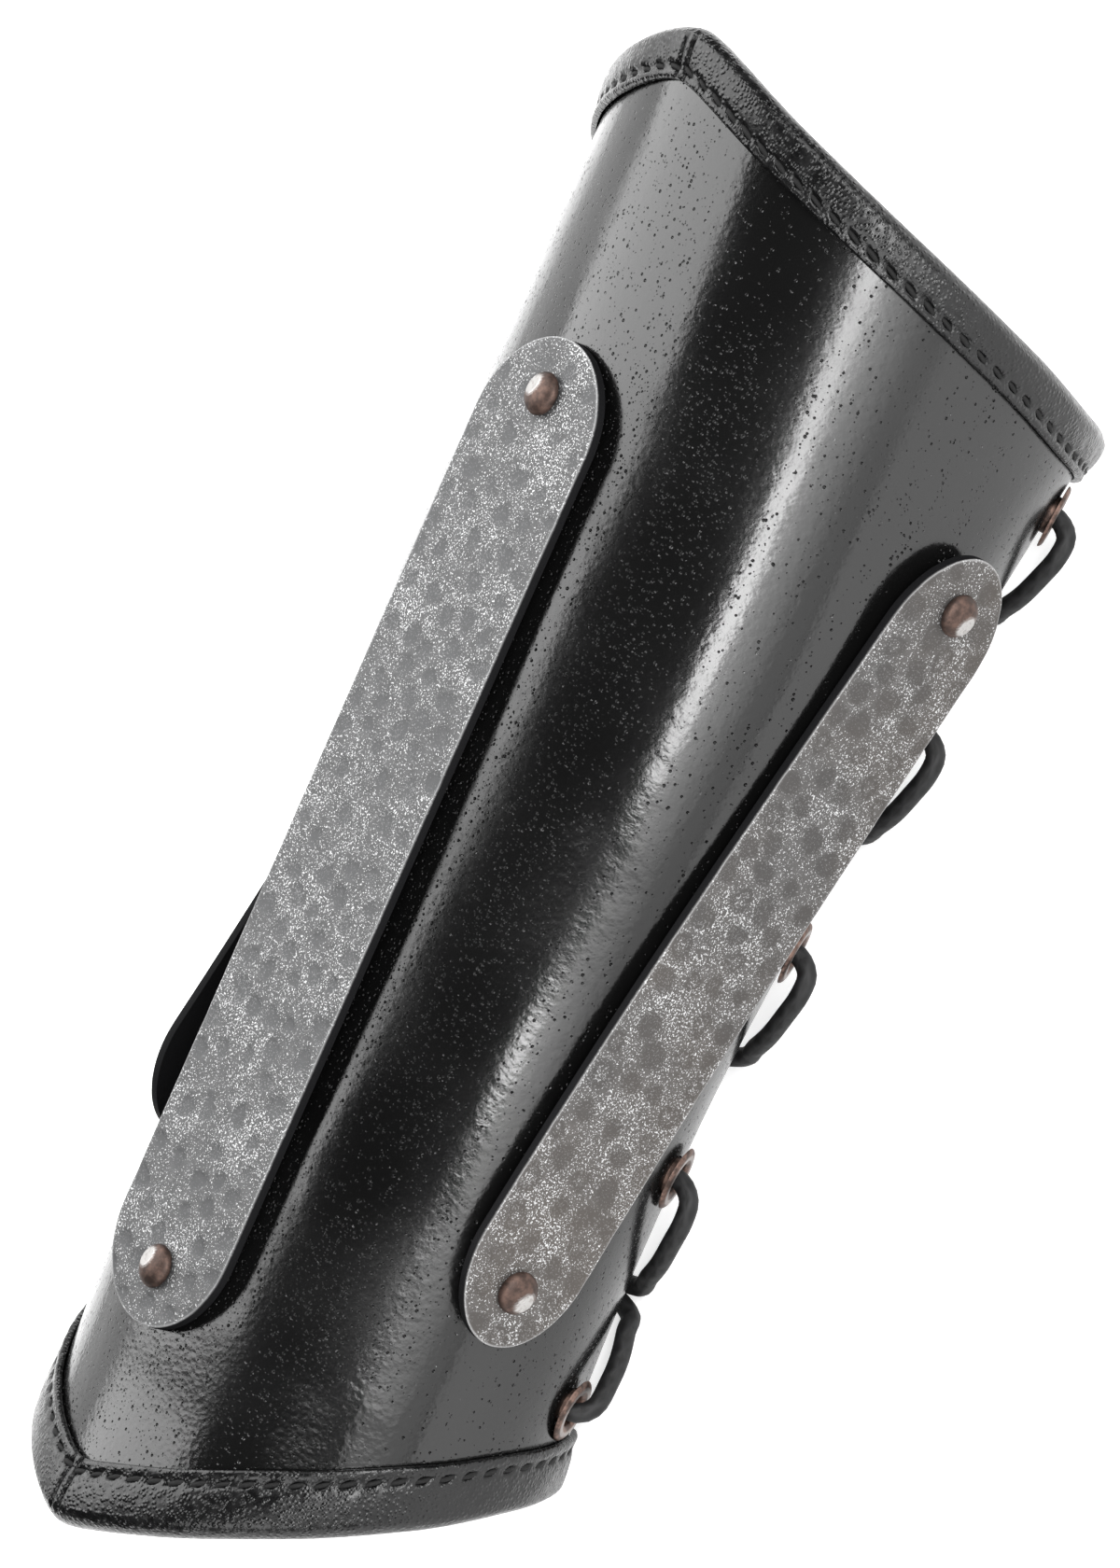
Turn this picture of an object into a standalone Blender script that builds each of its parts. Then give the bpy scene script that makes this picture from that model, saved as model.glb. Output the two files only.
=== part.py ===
# A laced leather bracer: a tapered tube of black leather, open along its underside, bound at both
# pointed ends, with three hammered steel splints, domed rivets, copper eyelets and one round lace.
# Y runs along the forearm with the wrist at -Y, the back of the arm is up, and it stands on the
# lacing-side corners of its two bindings. Lengths are in millimetres until add_mesh scales them.
import bpy
import bmesh
import math
from mathutils import Vector, Matrix

MM = 0.001
GAP = 0.3                      # free space left between neighbouring pieces

# ---- driving sizes ------------------------------------------------------------------------------
LENGTH = 223.6                 # tip to tip
LEATHER = 2.4                  # leather wall
BINDING = 1.0                  # binding leather, one layer
BINDING_WIDTH = {"elbow": 7.6, "wrist": 9.2}     # on the outside
BINDING_INSIDE = 8.0           # width of its turned-in part
WRIST_OPEN = 129.1             # half angle that the leather covers at the wrist, in degrees
ELBOW_OPEN = 150.9             # and at the elbow
ARCH = 6.6                     # how far the lacing edges rise between the two feet
FLATTENED = 0.5                # how much the bindings are pressed flat where they stand
WRIST_SPREAD = 1.0             # how far the two wrist corners stand out from the round
WRIST_LEAN = 1.3               # how far the wrist end has shifted to the right
WRIST_TURN = 3.0               # degrees that the wrist tip has slipped round to the left

SPLINT_WIDTH = {"centre": 26.4, "side": 20.6}
SPLINT_THICK = 1.5
SPLINT_END = 8.2               # rivet centre to the rounded end
SPLINT_ROUND = 13.6            # length of the rounded end
CENTRE_RIVETS = (39.1, 169.0)  # from the wrist tip
SIDE_RIVETS = (60.9, 169.7)
SIDE_ANGLES = {"right": (74.3, 101.2), "left": (77.0, 105.0)}    # round from the back, at those rivets
SIDE_BOW = (2.4, 0.8)          # how far its wrist end and its elbow end stand out from its middle
SIDE_FACING = (90.0, 97.5)     # the way a side splint's face points at those rivets

RIVET_HEAD = 3.1               # radius
RIVET_SHANK = 1.55
EYELET_RADIUS = 4.7
EYELET_BORE = 2.35
EYELET_COUNT = 5
EYELET_FIRST = 48.5            # from the wrist tip
EYELET_PITCH = 35.05
EYELET_BACK = 9.0              # from the lacing edge, round the leather
LACE = 1.4                     # radius

COLUMNS = 44                   # strips round the leather
ROWS = 8                       # strips along it

# share of the length, half width of the tube there, half height
SECTIONS = (
    (0.00, 37.3, 35.5), (0.12, 37.6, 33.0), (0.40, 38.0, 31.6), (0.70, 41.3, 35.1), (0.90, 41.0, 40.3),
    (1.00, 40.8, 44.4))
# share of the way round from the back of the arm to the lacing edge, how far the rim falls back
ELBOW_RIM = ((0.0, 0.6), (0.05, 2.0), (0.2, 7.3), (0.4, 13.2), (0.6, 17.8), (0.8, 20.9), (1.0, 21.6))
WRIST_RIM = ((0.0, 0.6), (0.05, 1.8), (0.2, 6.7), (0.4, 15.2), (0.6, 24.1), (0.8, 31.6), (1.0, 36.2))


# ---- shape of the tube --------------------------------------------------------------------------
def along(table, x, column=1):
    """Value of a table's column at x, on a smooth curve that never overshoots."""
    xs = [row[0] for row in table]
    ys = [row[column] for row in table]
    slopes = [(ys[i + 1] - ys[i]) / (xs[i + 1] - xs[i]) for i in range(len(xs) - 1)]
    ends = [slopes[0]]
    for left, right in zip(slopes, slopes[1:]):
        ends.append(0.0 if left * right <= 0.0 else 2.0 * left * right / (left + right))
    ends.append(slopes[-1])
    x = min(max(x, xs[0]), xs[-1])
    i = max(k for k in range(len(xs) - 1) if xs[k] <= x)
    h = xs[i + 1] - xs[i]
    t = (x - xs[i]) / h
    return ((2 * t**3 - 3 * t**2 + 1) * ys[i] + (t**3 - 2 * t**2 + t) * h * ends[i]
            + (3 * t**2 - 2 * t**3) * ys[i + 1] + (t**3 - t**2) * h * ends[i + 1])


def cover(y):
    """Half angle that the leather covers at y from the wrist tip, in radians."""
    return math.radians(WRIST_OPEN + (ELBOW_OPEN - WRIST_OPEN) * y / LENGTH)


def axes(y):
    """Half width and half height of the tube."""
    return along(SECTIONS, y / LENGTH, 1), along(SECTIONS, y / LENGTH, 2)


def round_at(share, y):
    """Angle round from the back of the arm at a share of the way to a lacing edge."""
    slip = math.radians(WRIST_TURN) * math.exp(-y / 45.0)
    return share * cover(y) - slip * (1.0 - share**2)


def facing(phi, y):
    wide, high = axes(y)
    return Vector((math.sin(phi) / wide, 0.0, math.cos(phi) / high)).normalized()


def spread(phi, y):
    """How far the leather stands out beyond the round near a wrist corner."""
    near = max(0.0, 4.0 * abs(phi) / cover(y) - 3.0)
    return WRIST_SPREAD * near**2 * math.exp(-max(0.0, y - WRIST_RIM[-1][1]) / 18.0)


def lean(y):
    return WRIST_LEAN * math.exp(-(y / 30.0)**2)


def edge_height(y):
    """Height of the leather's lacing edge: the bindings stand on the ground, the rest is arched."""
    first = WRIST_RIM[-1][1]
    last = LENGTH - ELBOW_RIM[-1][1]
    middle = 0.5 * (first + last)
    reach = 0.5 * (last - first)
    sole = GAP + BINDING + spread(cover(y), y) - FLATTENED
    return ARCH * (1.0 - ((y - middle) / reach) ** 2) - sole * facing(cover(y), y).z


def surface(phi, y, out=0.0):
    """Point out millimetres off the leather's outer face; y counts from the wrist tip."""
    wide, high = axes(y)
    centre = edge_height(y) - high * math.cos(cover(y))
    on = Vector((wide * math.sin(phi) + lean(y), y - 0.5 * LENGTH, centre + high * math.cos(phi)))
    return on + (out + spread(phi, y)) * facing(phi, y)


def from_edge(side, back, y, out=0.0):
    """The same, with the place given as a distance back from the lacing edge on side +1 or -1."""
    wide, high = axes(y)
    return surface(side * (cover(y) - back / (0.5 * (wide + high))), y, out)


def rim_y(end, share):
    if end == "elbow":
        return LENGTH - along(ELBOW_RIM, abs(share))
    return along(WRIST_RIM, abs(share))


def rim_stretch(end, share):
    """How much longer a step across the slanting rim is along Y than square to the rim."""
    step = 0.02
    near = max(abs(share), step)
    near = min(near, 1.0 - step)
    slope = (rim_y(end, near + step) - rim_y(end, near - step)) / (2.0 * step)
    y = rim_y(end, near)
    wide, high = axes(y)
    return math.hypot(1.0, slope / (cover(y) * 0.5 * (wide + high)))


# ---- making objects -----------------------------------------------------------------------------
def material(name, colour, roughness, metallic):
    mat = bpy.data.materials.new(name)
    mat.use_nodes = True
    shader = mat.node_tree.nodes["Principled BSDF"]
    shader.inputs["Base Color"].default_value = (*colour, 1.0)
    shader.inputs["Roughness"].default_value = roughness
    shader.inputs["Metallic"].default_value = metallic
    return mat


def add_mesh(name, verts, faces, mat, sharp=35.0):
    mesh = bpy.data.meshes.new(name)
    mesh.from_pydata([MM * Vector(v) for v in verts], [], faces)
    work = bmesh.new()
    work.from_mesh(mesh)
    bmesh.ops.recalc_face_normals(work, faces=work.faces)
    work.to_mesh(mesh)
    work.free()
    mesh.shade_smooth()
    mesh.set_sharp_from_angle(angle=math.radians(sharp))
    mesh.materials.append(mat)
    obj = bpy.data.objects.new(name, mesh)
    bpy.context.scene.collection.objects.link(obj)
    return obj


def ring_loft(rings, closed=False):
    """Verts and faces of equal rings joined in order; the ends are filled, or the loft is closed."""
    count = len(rings[0])
    verts = [p for ring in rings for p in ring]
    faces = []
    spans = len(rings) if closed else len(rings) - 1
    for r in range(spans):
        s = (r + 1) % len(rings)
        for i in range(count):
            j = (i + 1) % count
            faces.append((r * count + i, r * count + j, s * count + j, s * count + i))
    if not closed:
        faces.append(tuple(range(count))[::-1])
        faces.append(tuple(range((len(rings) - 1) * count, len(rings) * count)))
    return verts, faces


def turned(profile, place, sides):
    """A profile of (radius, height) turned about place's Z; a radius of 0 ends in a single point."""
    verts = []
    rows = []
    for radius, height in profile:
        if radius == 0.0:
            rows.append([len(verts)])
            verts.append(place @ Vector((0.0, 0.0, height)))
            continue
        row = []
        for k in range(sides):
            turn = 2.0 * math.pi * k / sides
            row.append(len(verts))
            verts.append(place @ Vector((radius * math.cos(turn), radius * math.sin(turn), height)))
        rows.append(row)
    faces = []
    closed = profile[0][0] != 0.0
    pairs = list(zip(rows, rows[1:]))
    if closed:
        pairs.append((rows[-1], rows[0]))
    for low, high in pairs:
        for k in range(sides):
            n = (k + 1) % sides
            if len(low) == 1:
                faces.append((low[0], high[n], high[k]))
            elif len(high) == 1:
                faces.append((low[k], low[n], high[0]))
            else:
                faces.append((low[k], low[n], high[n], high[k]))
    return verts, faces


def standing(point, normal):
    """Placement with its origin at point and its Z along normal."""
    up = Vector(normal).normalized()
    side = up.cross(Vector((0.0, 1.0, 0.0))).normalized()
    front = up.cross(side)
    return Matrix.Translation(point) @ Matrix((side, front, up)).transposed().to_4x4()


def bore(target, name, place, radius, reach, sides):
    """Cut a round hole along place's Z."""
    verts, faces = turned(((0.0, -reach), (radius, -reach), (radius, reach), (0.0, reach)), place, sides)
    tool = add_mesh(name, verts, faces, target.data.materials[0])
    tool.hide_render = True
    tool.display_type = "WIRE"
    cut = target.modifiers.new(name, "BOOLEAN")
    cut.operation = "DIFFERENCE"
    cut.solver = "EXACT"
    cut.object = tool


# ---- leather ------------------------------------------------------------------------------------
def leather_shell(mat):
    inset = GAP + BINDING                       # the rims end inside the fold of the bindings
    round_off = 0.7
    columns = []
    for c in range(COLUMNS + 1):
        share = 2.0 * c / COLUMNS - 1.0
        start = rim_y("wrist", share) + inset * rim_stretch("wrist", share)
        end = rim_y("elbow", share) - inset * rim_stretch("elbow", share)
        ys = [start + (end - start) * r / ROWS for r in range(ROWS + 1)]
        columns.append((share, ys))
    rings = []
    for share, ys in columns[1:-1]:
        outer = [surface(round_at(share, y), y) for y in ys]
        inner = [surface(round_at(share, y), y, -LEATHER) for y in ys]
        rings.append(outer + inner[::-1])
    for index, side in ((0, -1), (-1, 1)):
        ys = columns[index][1]
        bands = (((round_off, 0.0), (round_off, -LEATHER)), ((0.0, -round_off), (0.0, round_off - LEATHER)))
        made = []
        for (b0, h0), (b1, h1) in bands:
            outer = [from_edge(side, b0, y, h0) for y in ys]
            inner = [from_edge(side, b1, y, h1) for y in ys]
            made.append(outer + inner[::-1])
        if side < 0:
            rings = made[::-1] + rings
        else:
            rings = rings + made
    return add_mesh("leather_shell", *ring_loft(rings), mat)


def binding(end, mat):
    """A strip folded over the rim: its section is swept round from one lacing edge to the other."""
    sign = -1.0 if end == "elbow" else 1.0
    top = GAP + BINDING
    under = -LEATHER - GAP
    wide = BINDING_WIDTH[end]
    section = (
        (wide, GAP), (wide - 0.1, top - 0.35), (wide - 0.9, top), (1.3, top), (0.3, top - 0.8),
        (0.0, -0.5 * LEATHER), (0.3, under - BINDING + 0.8), (1.3, under - BINDING),
        (BINDING_INSIDE, under - BINDING), (BINDING_INSIDE, under), (BINDING, under), (BINDING, GAP))
    rings = []
    for c in range(COLUMNS + 1):
        share = 2.0 * c / COLUMNS - 1.0
        rim = rim_y(end, share)
        stretch = rim_stretch(end, share)
        ring = []
        for across, out in section:
            y = rim + sign * across * stretch
            point = surface(round_at(share, y), y, out)
            point.z = max(point.z, 0.0)         # pressed flat on the ground
            ring.append(point)
        rings.append(ring)
    return add_mesh(end + "_binding", *ring_loft(rings), mat)


# ---- splints and their rivets -------------------------------------------------------------------
def plate(name, frames, mat):
    """A flat strip with round ends through frames of (centre, across, normal), in order."""
    rings = []
    for centre, across, normal, half in frames:
        lift = SPLINT_THICK * normal
        soft = 0.25
        low = centre - half * across
        high = centre + half * across
        inset = soft * across
        rings.append([low, high, high + lift - soft * normal, high + lift - inset, low + lift + inset,
                      low + lift - soft * normal])
    return add_mesh(name, *ring_loft(rings), mat)


def end_widths(length, width):
    """Stations along a strip with rounded ends, with the half width at each."""
    half = 0.5 * width
    steps = 6
    turns = [math.radians(90.0 * (k + 0.5) / steps) for k in range(steps)]
    lead = [(SPLINT_ROUND * (1.0 - math.cos(t)), half * math.sin(t)) for t in turns]
    spans = 6
    body = []
    for k in range(1, spans):
        body.append((SPLINT_ROUND + (length - 2.0 * SPLINT_ROUND) * k / spans, half))
    tail = [(length - at, half) for at, half in lead[::-1]]
    return lead + body + tail


def splint(name, width, angles, rivets, facings, bow, side, mat):
    """A stiff strip laid against the round leather, with a seat for a rivet at each end."""
    ends = [surface(side * math.radians(a), y) for a, y in zip(angles, rivets)]
    ahead = (ends[1] - ends[0]).normalized()
    between = (ends[1] - ends[0]).length
    length = between + 2.0 * SPLINT_END
    start = ends[0] - SPLINT_END * ahead

    def frame(at, half):
        turn = math.radians(facings[0] + (facings[1] - facings[0]) * (at - SPLINT_END) / between)
        normal = Vector((side * math.sin(turn), 0.0, math.cos(turn)))
        normal = (normal - normal.dot(ahead) * ahead).normalized()
        share = 2.0 * at / length - 1.0
        centre = start + at * ahead + bow[share > 0.0] * share**2 * normal
        return centre, side * normal.cross(ahead).normalized(), normal, half

    frames = [frame(at, half) for at, half in end_widths(length, width)]
    middle = frame(0.5 * length, 0.0)[2]
    lift = (GAP - min(clearance(frames))) * middle
    frames = [(centre + lift, across, normal, half) for centre, across, normal, half in frames]
    body = plate(name, frames, mat)
    seats = []
    for at in (SPLINT_END, length - SPLINT_END):
        centre, across, normal, half = frame(at, 0.0)
        seats.append(standing(centre + lift, normal))
    return body, seats


def clearance(frames):
    """Heights of a strip's underside over the leather, at a net of points on it."""
    found = []
    for centre, across, normal, half in frames:
        for share in (-1.0, -0.75, -0.5, -0.25, 0.0, 0.25, 0.5, 0.75, 1.0):
            found.append(gap_under(centre + share * half * across, normal))
    return found


def gap_under(point, normal):
    """Distance from point back along normal to the leather, negative inside it."""
    low, high = -12.0, 12.0
    for _ in range(30):
        middle = 0.5 * (low + high)
        spot = point - middle * normal
        y = spot.y + 0.5 * LENGTH
        wide, tall = axes(y)
        centre = edge_height(y) - tall * math.cos(cover(y))
        inside = ((spot.x - lean(y)) / wide) ** 2 + ((spot.z - centre) / tall) ** 2 < 1.0
        if inside:
            high = middle
        else:
            low = middle
    return middle


def rivet(name, seat, reach, mat):
    """Domed head with a flat top, a shank and a flat inner head; reach is the grip under the splint."""
    top = SPLINT_THICK + GAP
    foot = -reach - GAP
    profile = (
        (0.0, foot - 0.9), (RIVET_HEAD - 0.5, foot - 0.9), (RIVET_HEAD - 0.2, foot), (RIVET_SHANK, foot),
        (RIVET_SHANK, top), (RIVET_HEAD, top), (RIVET_HEAD, top + 0.5), (0.87 * RIVET_HEAD, top + 1.25),
        (0.56 * RIVET_HEAD, top + 1.8), (0.0, top + 1.8))
    return add_mesh(name, *turned(profile, seat, 12), mat)


# ---- eyelets and lace ---------------------------------------------------------------------------
def eyelet_y(row):
    return EYELET_FIRST + EYELET_PITCH * row


def eyelet_place(side, row):
    y = eyelet_y(row)
    point = from_edge(side, EYELET_BACK, y)
    return standing(point, point - from_edge(side, EYELET_BACK, y, -1.0))


def eyelet(name, place, mat):
    face = GAP + 0.3
    back = -LEATHER - 1.1
    barrel = EYELET_BORE + 0.45
    profile = (
        (EYELET_BORE, face + 0.4), (EYELET_BORE, back - 0.6),
        (EYELET_RADIUS - 0.7, back - 0.5), (EYELET_RADIUS - 0.7, back), (barrel, back),
        (barrel, face), (EYELET_RADIUS, face), (EYELET_RADIUS - 0.3, face + 0.35),
        (0.5 * (EYELET_RADIUS + EYELET_BORE), face + 0.65))
    return add_mesh(name, *turned(profile, place, 12), mat)


# How the lace runs from the gap over a lacing edge and down into an eyelet, one row a turn:
# back from the edge, along from the eyelet towards the elbow, off the leather
INTO_EYELET = (
    (-2.4, -16.2, 1.8), (0.9, -14.2, 2.2), (3.8, -11.8, 2.9), (7.1, -8.2, 3.6), (9.2, -4.6, 4.2), (9.7, -1.8, 3.8),
    (9.0, 0.0, 1.3), (9.0, 0.0, -4.2), (8.1, 1.1, -6.3))
# and how it leaves the first eyelet outwards, over the edge and on towards the elbow
OUT_OF_FIRST = (
    (9.0, 0.0, -4.4), (9.0, 0.0, 1.4), (8.3, 1.8, 3.2), (5.6, 5.6, 3.2), (3.2, 9.2, 2.9),
    (0.9, 12.6, 2.2), (-2.4, 15.0, 1.8))


# A free end after the half knot: out from the middle of the gap, along from the last eyelet, height
FREE_END = ((9.2, 7.2, 6.4), (12.2, 9.0, 3.3), (15.4, 10.4, 1.6))


def lace_route():
    """Way points from one free end to the other: two strands that cross behind every eyelet row."""
    strands = []
    for first in (1, -1):
        points = []
        side = first
        y = eyelet_y(0)
        for back, on, out in OUT_OF_FIRST:
            points.append(from_edge(side, back, y + on, out))
        for row in range(1, EYELET_COUNT):
            points.append(crossing(points[-1], row, -side, first))
            side = -side
            y = eyelet_y(row)
            for back, on, out in INTO_EYELET:
                points.append(from_edge(side, back, y + on, out))
        points += ending(points[-1], side, first)
        strands.append(points)
    left = from_edge(-1, EYELET_BACK - 0.8, eyelet_y(0), -7.2)
    right = from_edge(1, EYELET_BACK - 0.8, eyelet_y(0), -7.2)
    sag = Vector((0.0, 0.0, -3.0))
    bar = [right, 0.5 * (left + right) + sag, left]
    return strands[0][::-1] + bar + strands[1]


def crossing(last, row, to_side, first):
    """Middle of a diagonal: one strand passes over the other."""
    ahead = from_edge(to_side, INTO_EYELET[0][0], eyelet_y(row) + INTO_EYELET[0][1], INTO_EYELET[0][2])
    middle = 0.5 * (last + ahead)
    apart = 2.0 * first
    if row == 1:
        return middle + Vector((0.0, 0.0, 2.2 + apart))
    return middle + Vector((0.0, 0.0, apart))


def ending(last, side, first):
    """Half a knot in the middle of the gap, then a short free end that hangs to the ground."""
    row_y = eyelet_y(EYELET_COUNT - 1) - 0.5 * LENGTH
    hold = 2.05 * first
    steps = 5
    reach = 6.5
    points = []
    for k in range(steps):
        t = k / (steps - 1)
        turn = 2.0 * math.pi * t
        x = side * reach * (1.0 - 2.0 * t)
        points.append(Vector((x, row_y + 4.5 + hold * math.cos(turn), 9.5 + 2.05 * first * math.sin(turn))))
    for x, on, height in FREE_END:
        points.append(Vector((-side * x, row_y + on, height)))
    return points


def smooth(points, spacing):
    """Points along a centripetal curve through the way points, about spacing apart."""
    ends = [points[0] * 2.0 - points[1]] + list(points) + [points[-1] * 2.0 - points[-2]]
    made = [points[0]]
    for a, b, c, d in zip(ends, ends[1:], ends[2:], ends[3:]):
        t1 = (b - a).length ** 0.5
        t2 = t1 + (c - b).length ** 0.5
        t3 = t2 + (d - c).length ** 0.5
        count = max(1, round((c - b).length / spacing))
        for k in range(1, count + 1):
            t = t1 + (t2 - t1) * k / count
            p = a.lerp(b, t / t1)
            q = b.lerp(c, (t - t1) / (t2 - t1))
            r = c.lerp(d, (t - t2) / (t3 - t2))
            u = p.lerp(q, t / t2)
            v = q.lerp(r, (t - t1) / (t3 - t1))
            made.append(u.lerp(v, (t - t1) / (t2 - t1)))
    return made


def lace(mat):
    points = smooth(lace_route(), 10.0)
    curve = bpy.data.curves.new("lace", "CURVE")
    curve.dimensions = "3D"
    curve.bevel_depth = LACE * MM
    curve.bevel_resolution = 2
    curve.use_fill_caps = True
    spline = curve.splines.new("POLY")
    spline.points.add(len(points) - 1)
    for spot, point in zip(spline.points, points):
        point.z = max(point.z, LACE + 0.15)     # the floor
        spot.co = (*(MM * point), 1.0)
    curve.materials.append(mat)
    obj = bpy.data.objects.new("lace", curve)
    bpy.context.scene.collection.objects.link(obj)
    return obj


# ---- the bracer ---------------------------------------------------------------------------------
def build():
    for obj in list(bpy.data.objects):
        bpy.data.objects.remove(obj, do_unlink=True)
    black = material("black_leather", (0.012, 0.012, 0.013), 0.28, 0.0)
    soft = material("binding_leather", (0.016, 0.016, 0.017), 0.42, 0.0)
    steel = material("hammered_steel", (0.20, 0.20, 0.21), 0.45, 1.0)
    copper = material("aged_copper", (0.16, 0.09, 0.07), 0.4, 1.0)
    cord = material("black_cord", (0.02, 0.02, 0.021), 0.7, 0.0)

    shell = leather_shell(black)
    binding("elbow", soft)
    binding("wrist", soft)

    middle = SPLINT_WIDTH["centre"]
    flank = SPLINT_WIDTH["side"]
    splints = (
        ("centre", splint("centre_splint", middle, (0.0, 0.0), CENTRE_RIVETS, (0.0, 0.0), (0.0, 0.0), 1, steel)),
        ("right", splint("right_splint", flank, SIDE_ANGLES["right"], SIDE_RIVETS, SIDE_FACING, SIDE_BOW, 1, steel)),
        ("left", splint("left_splint", flank, SIDE_ANGLES["left"], SIDE_RIVETS, SIDE_FACING, SIDE_BOW, -1, steel)))
    for name, (body, seats) in splints:
        for end, seat in zip(("wrist", "elbow"), seats):
            normal = seat.to_3x3() @ Vector((0.0, 0.0, 1.0))
            rim = [seat @ (RIVET_HEAD * Vector((math.cos(k), math.sin(k), 0.0))) for k in range(7)]
            reach = max(gap_under(point, normal) for point in rim) + LEATHER * 1.12
            bore(body, name + "_plate_hole_" + end, seat, RIVET_SHANK + GAP, 4.0, 16)
            bore(shell, name + "_shell_hole_" + end, seat, RIVET_SHANK + GAP, 9.0, 12)
            rivet(name + "_rivet_" + end, seat, reach + 0.1, copper)

    for side, word in ((1, "right"), (-1, "left")):
        for row in range(EYELET_COUNT):
            place = eyelet_place(side, row)
            label = word + "_" + str(row + 1)
            bore(shell, "eyelet_hole_" + label, place, EYELET_BORE + 0.45 + GAP, 5.0, 14)
            eyelet("eyelet_" + label, place, copper)
    lace(cord)


build()
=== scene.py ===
# Looks of the laced leather bracer: finer leather, stitched bindings, hammered splints, rivets,
# eyelets and lace, each in place of its CAD solid. Lengths are in millimetres until a mesh is made.
import bpy
import bmesh
import math
import random
import numpy as np
from mathutils import Vector, Matrix, noise


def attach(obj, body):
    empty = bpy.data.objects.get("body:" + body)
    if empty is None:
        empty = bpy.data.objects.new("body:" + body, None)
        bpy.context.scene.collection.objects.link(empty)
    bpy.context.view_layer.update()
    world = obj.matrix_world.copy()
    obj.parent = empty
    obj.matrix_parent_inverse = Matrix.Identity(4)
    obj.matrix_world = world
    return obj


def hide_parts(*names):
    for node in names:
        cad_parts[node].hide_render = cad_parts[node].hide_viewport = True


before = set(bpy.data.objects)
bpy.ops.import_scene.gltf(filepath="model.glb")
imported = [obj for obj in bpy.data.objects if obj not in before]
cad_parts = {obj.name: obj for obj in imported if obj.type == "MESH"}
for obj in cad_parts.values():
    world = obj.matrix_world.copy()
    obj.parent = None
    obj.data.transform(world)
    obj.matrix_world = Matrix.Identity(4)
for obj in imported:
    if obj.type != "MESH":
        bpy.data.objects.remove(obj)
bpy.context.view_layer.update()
mm = 0.001

# camera
viewpoint = {"lean": 49.806, "swing": -0.61, "roll": 28.946, "shiftAcross": -1.863, "shiftAhead": 11.441,
             "distance": 1100.0, "target": (0.0, 0.0, 34.7), "lens": 181.7}


def addObject(name, data):
    obj = bpy.data.objects.new(name, data)
    bpy.context.scene.collection.objects.link(obj)
    return obj


def makeCamera():
    lean, swing, roll = (math.radians(viewpoint[key]) for key in ("lean", "swing", "roll"))
    back = Vector((math.sin(lean) * math.cos(swing), -math.sin(swing), math.cos(lean) * math.cos(swing)))
    arm = Vector((0.0, 1.0, 0.0))
    ahead = (arm - arm.dot(back) * back).normalized()
    across = ahead.cross(back)
    right = math.cos(roll) * across + math.sin(roll) * ahead
    up = math.cos(roll) * ahead - math.sin(roll) * across
    place = (Vector(viewpoint["target"]) + viewpoint["shiftAcross"] * across
             + viewpoint["shiftAhead"] * ahead + viewpoint["distance"] * back)
    camera = bpy.data.cameras.new("camera")
    camera.lens = viewpoint["lens"]
    camera.sensor_width = 36.0
    camera.clip_start, camera.clip_end = 0.05, 20.0
    holder = addObject("camera", camera)
    holder.matrix_world = Matrix.Translation(mm * place) @ Matrix((right, up, back)).transposed().to_4x4()
    bpy.context.scene.camera = holder


makeCamera()
print("camera ready")

# the form that every piece follows
form = {"length": 223.6, "leather": 2.4, "gap": 0.3, "binding": 1.0, "wristOpen": 129.1, "elbowOpen": 150.9,
        "arch": 6.6, "flattened": 0.5, "wristSpread": 1.0, "wristLean": 1.3, "wristTurn": 3.0}
# share of the length, half width of the tube there, half height
sections = ((0.00, 37.3, 35.5), (0.12, 37.6, 33.0), (0.40, 38.0, 31.6), (0.70, 41.3, 35.1),
            (0.90, 41.0, 40.3), (1.00, 40.8, 44.4))
# share of the way round to the lacing edge, how far the rim falls back from the tip
elbowRim = ((0.0, 0.6), (0.05, 2.0), (0.2, 7.3), (0.4, 13.2), (0.6, 17.8), (0.8, 20.9), (1.0, 21.6))
wristRim = ((0.0, 0.6), (0.05, 1.8), (0.2, 6.7), (0.4, 15.2), (0.6, 24.1), (0.8, 31.6), (1.0, 36.2))


def along(table, x, column=1):          # smooth curve through a table's column, never overshooting
    xs = np.array([row[0] for row in table])
    ys = np.array([row[column] for row in table])
    steps = np.diff(ys) / np.diff(xs)
    before, after = steps[:-1], steps[1:]
    total = np.where(before + after == 0.0, 1.0, before + after)
    bends = np.where(before * after > 0.0, 2.0 * before * after / total, 0.0)
    slopes = np.concatenate([steps[:1], bends, steps[-1:]])
    x = np.clip(x, xs[0], xs[-1])
    i = np.clip(np.searchsorted(xs, x, "right") - 1, 0, len(xs) - 2)
    h = xs[i + 1] - xs[i]
    t = (x - xs[i]) / h
    return ((2 * t**3 - 3 * t**2 + 1) * ys[i] + (t**3 - 2 * t**2 + t) * h * slopes[i]
            + (3 * t**2 - 2 * t**3) * ys[i + 1] + (t**3 - t**2) * h * slopes[i + 1])


def cover(y):                           # half angle that the leather covers
    return np.radians(form["wristOpen"] + (form["elbowOpen"] - form["wristOpen"]) * y / form["length"])


def axes(y):
    share = y / form["length"]
    return along(sections, share, 1), along(sections, share, 2)


def roundAt(share, y):
    slip = math.radians(form["wristTurn"]) * np.exp(-y / 45.0)
    return share * cover(y) - slip * (1.0 - share**2)


def facing(phi, y):
    wide, high = axes(y)
    nx, nz = np.sin(phi) / wide, np.cos(phi) / high
    size = np.hypot(nx, nz)
    return nx / size, nz / size


def spread(phi, y):
    near = np.maximum(0.0, 4.0 * np.abs(phi) / cover(y) - 3.0)
    return form["wristSpread"] * near**2 * np.exp(-np.maximum(0.0, y - wristRim[-1][1]) / 18.0)


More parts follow.
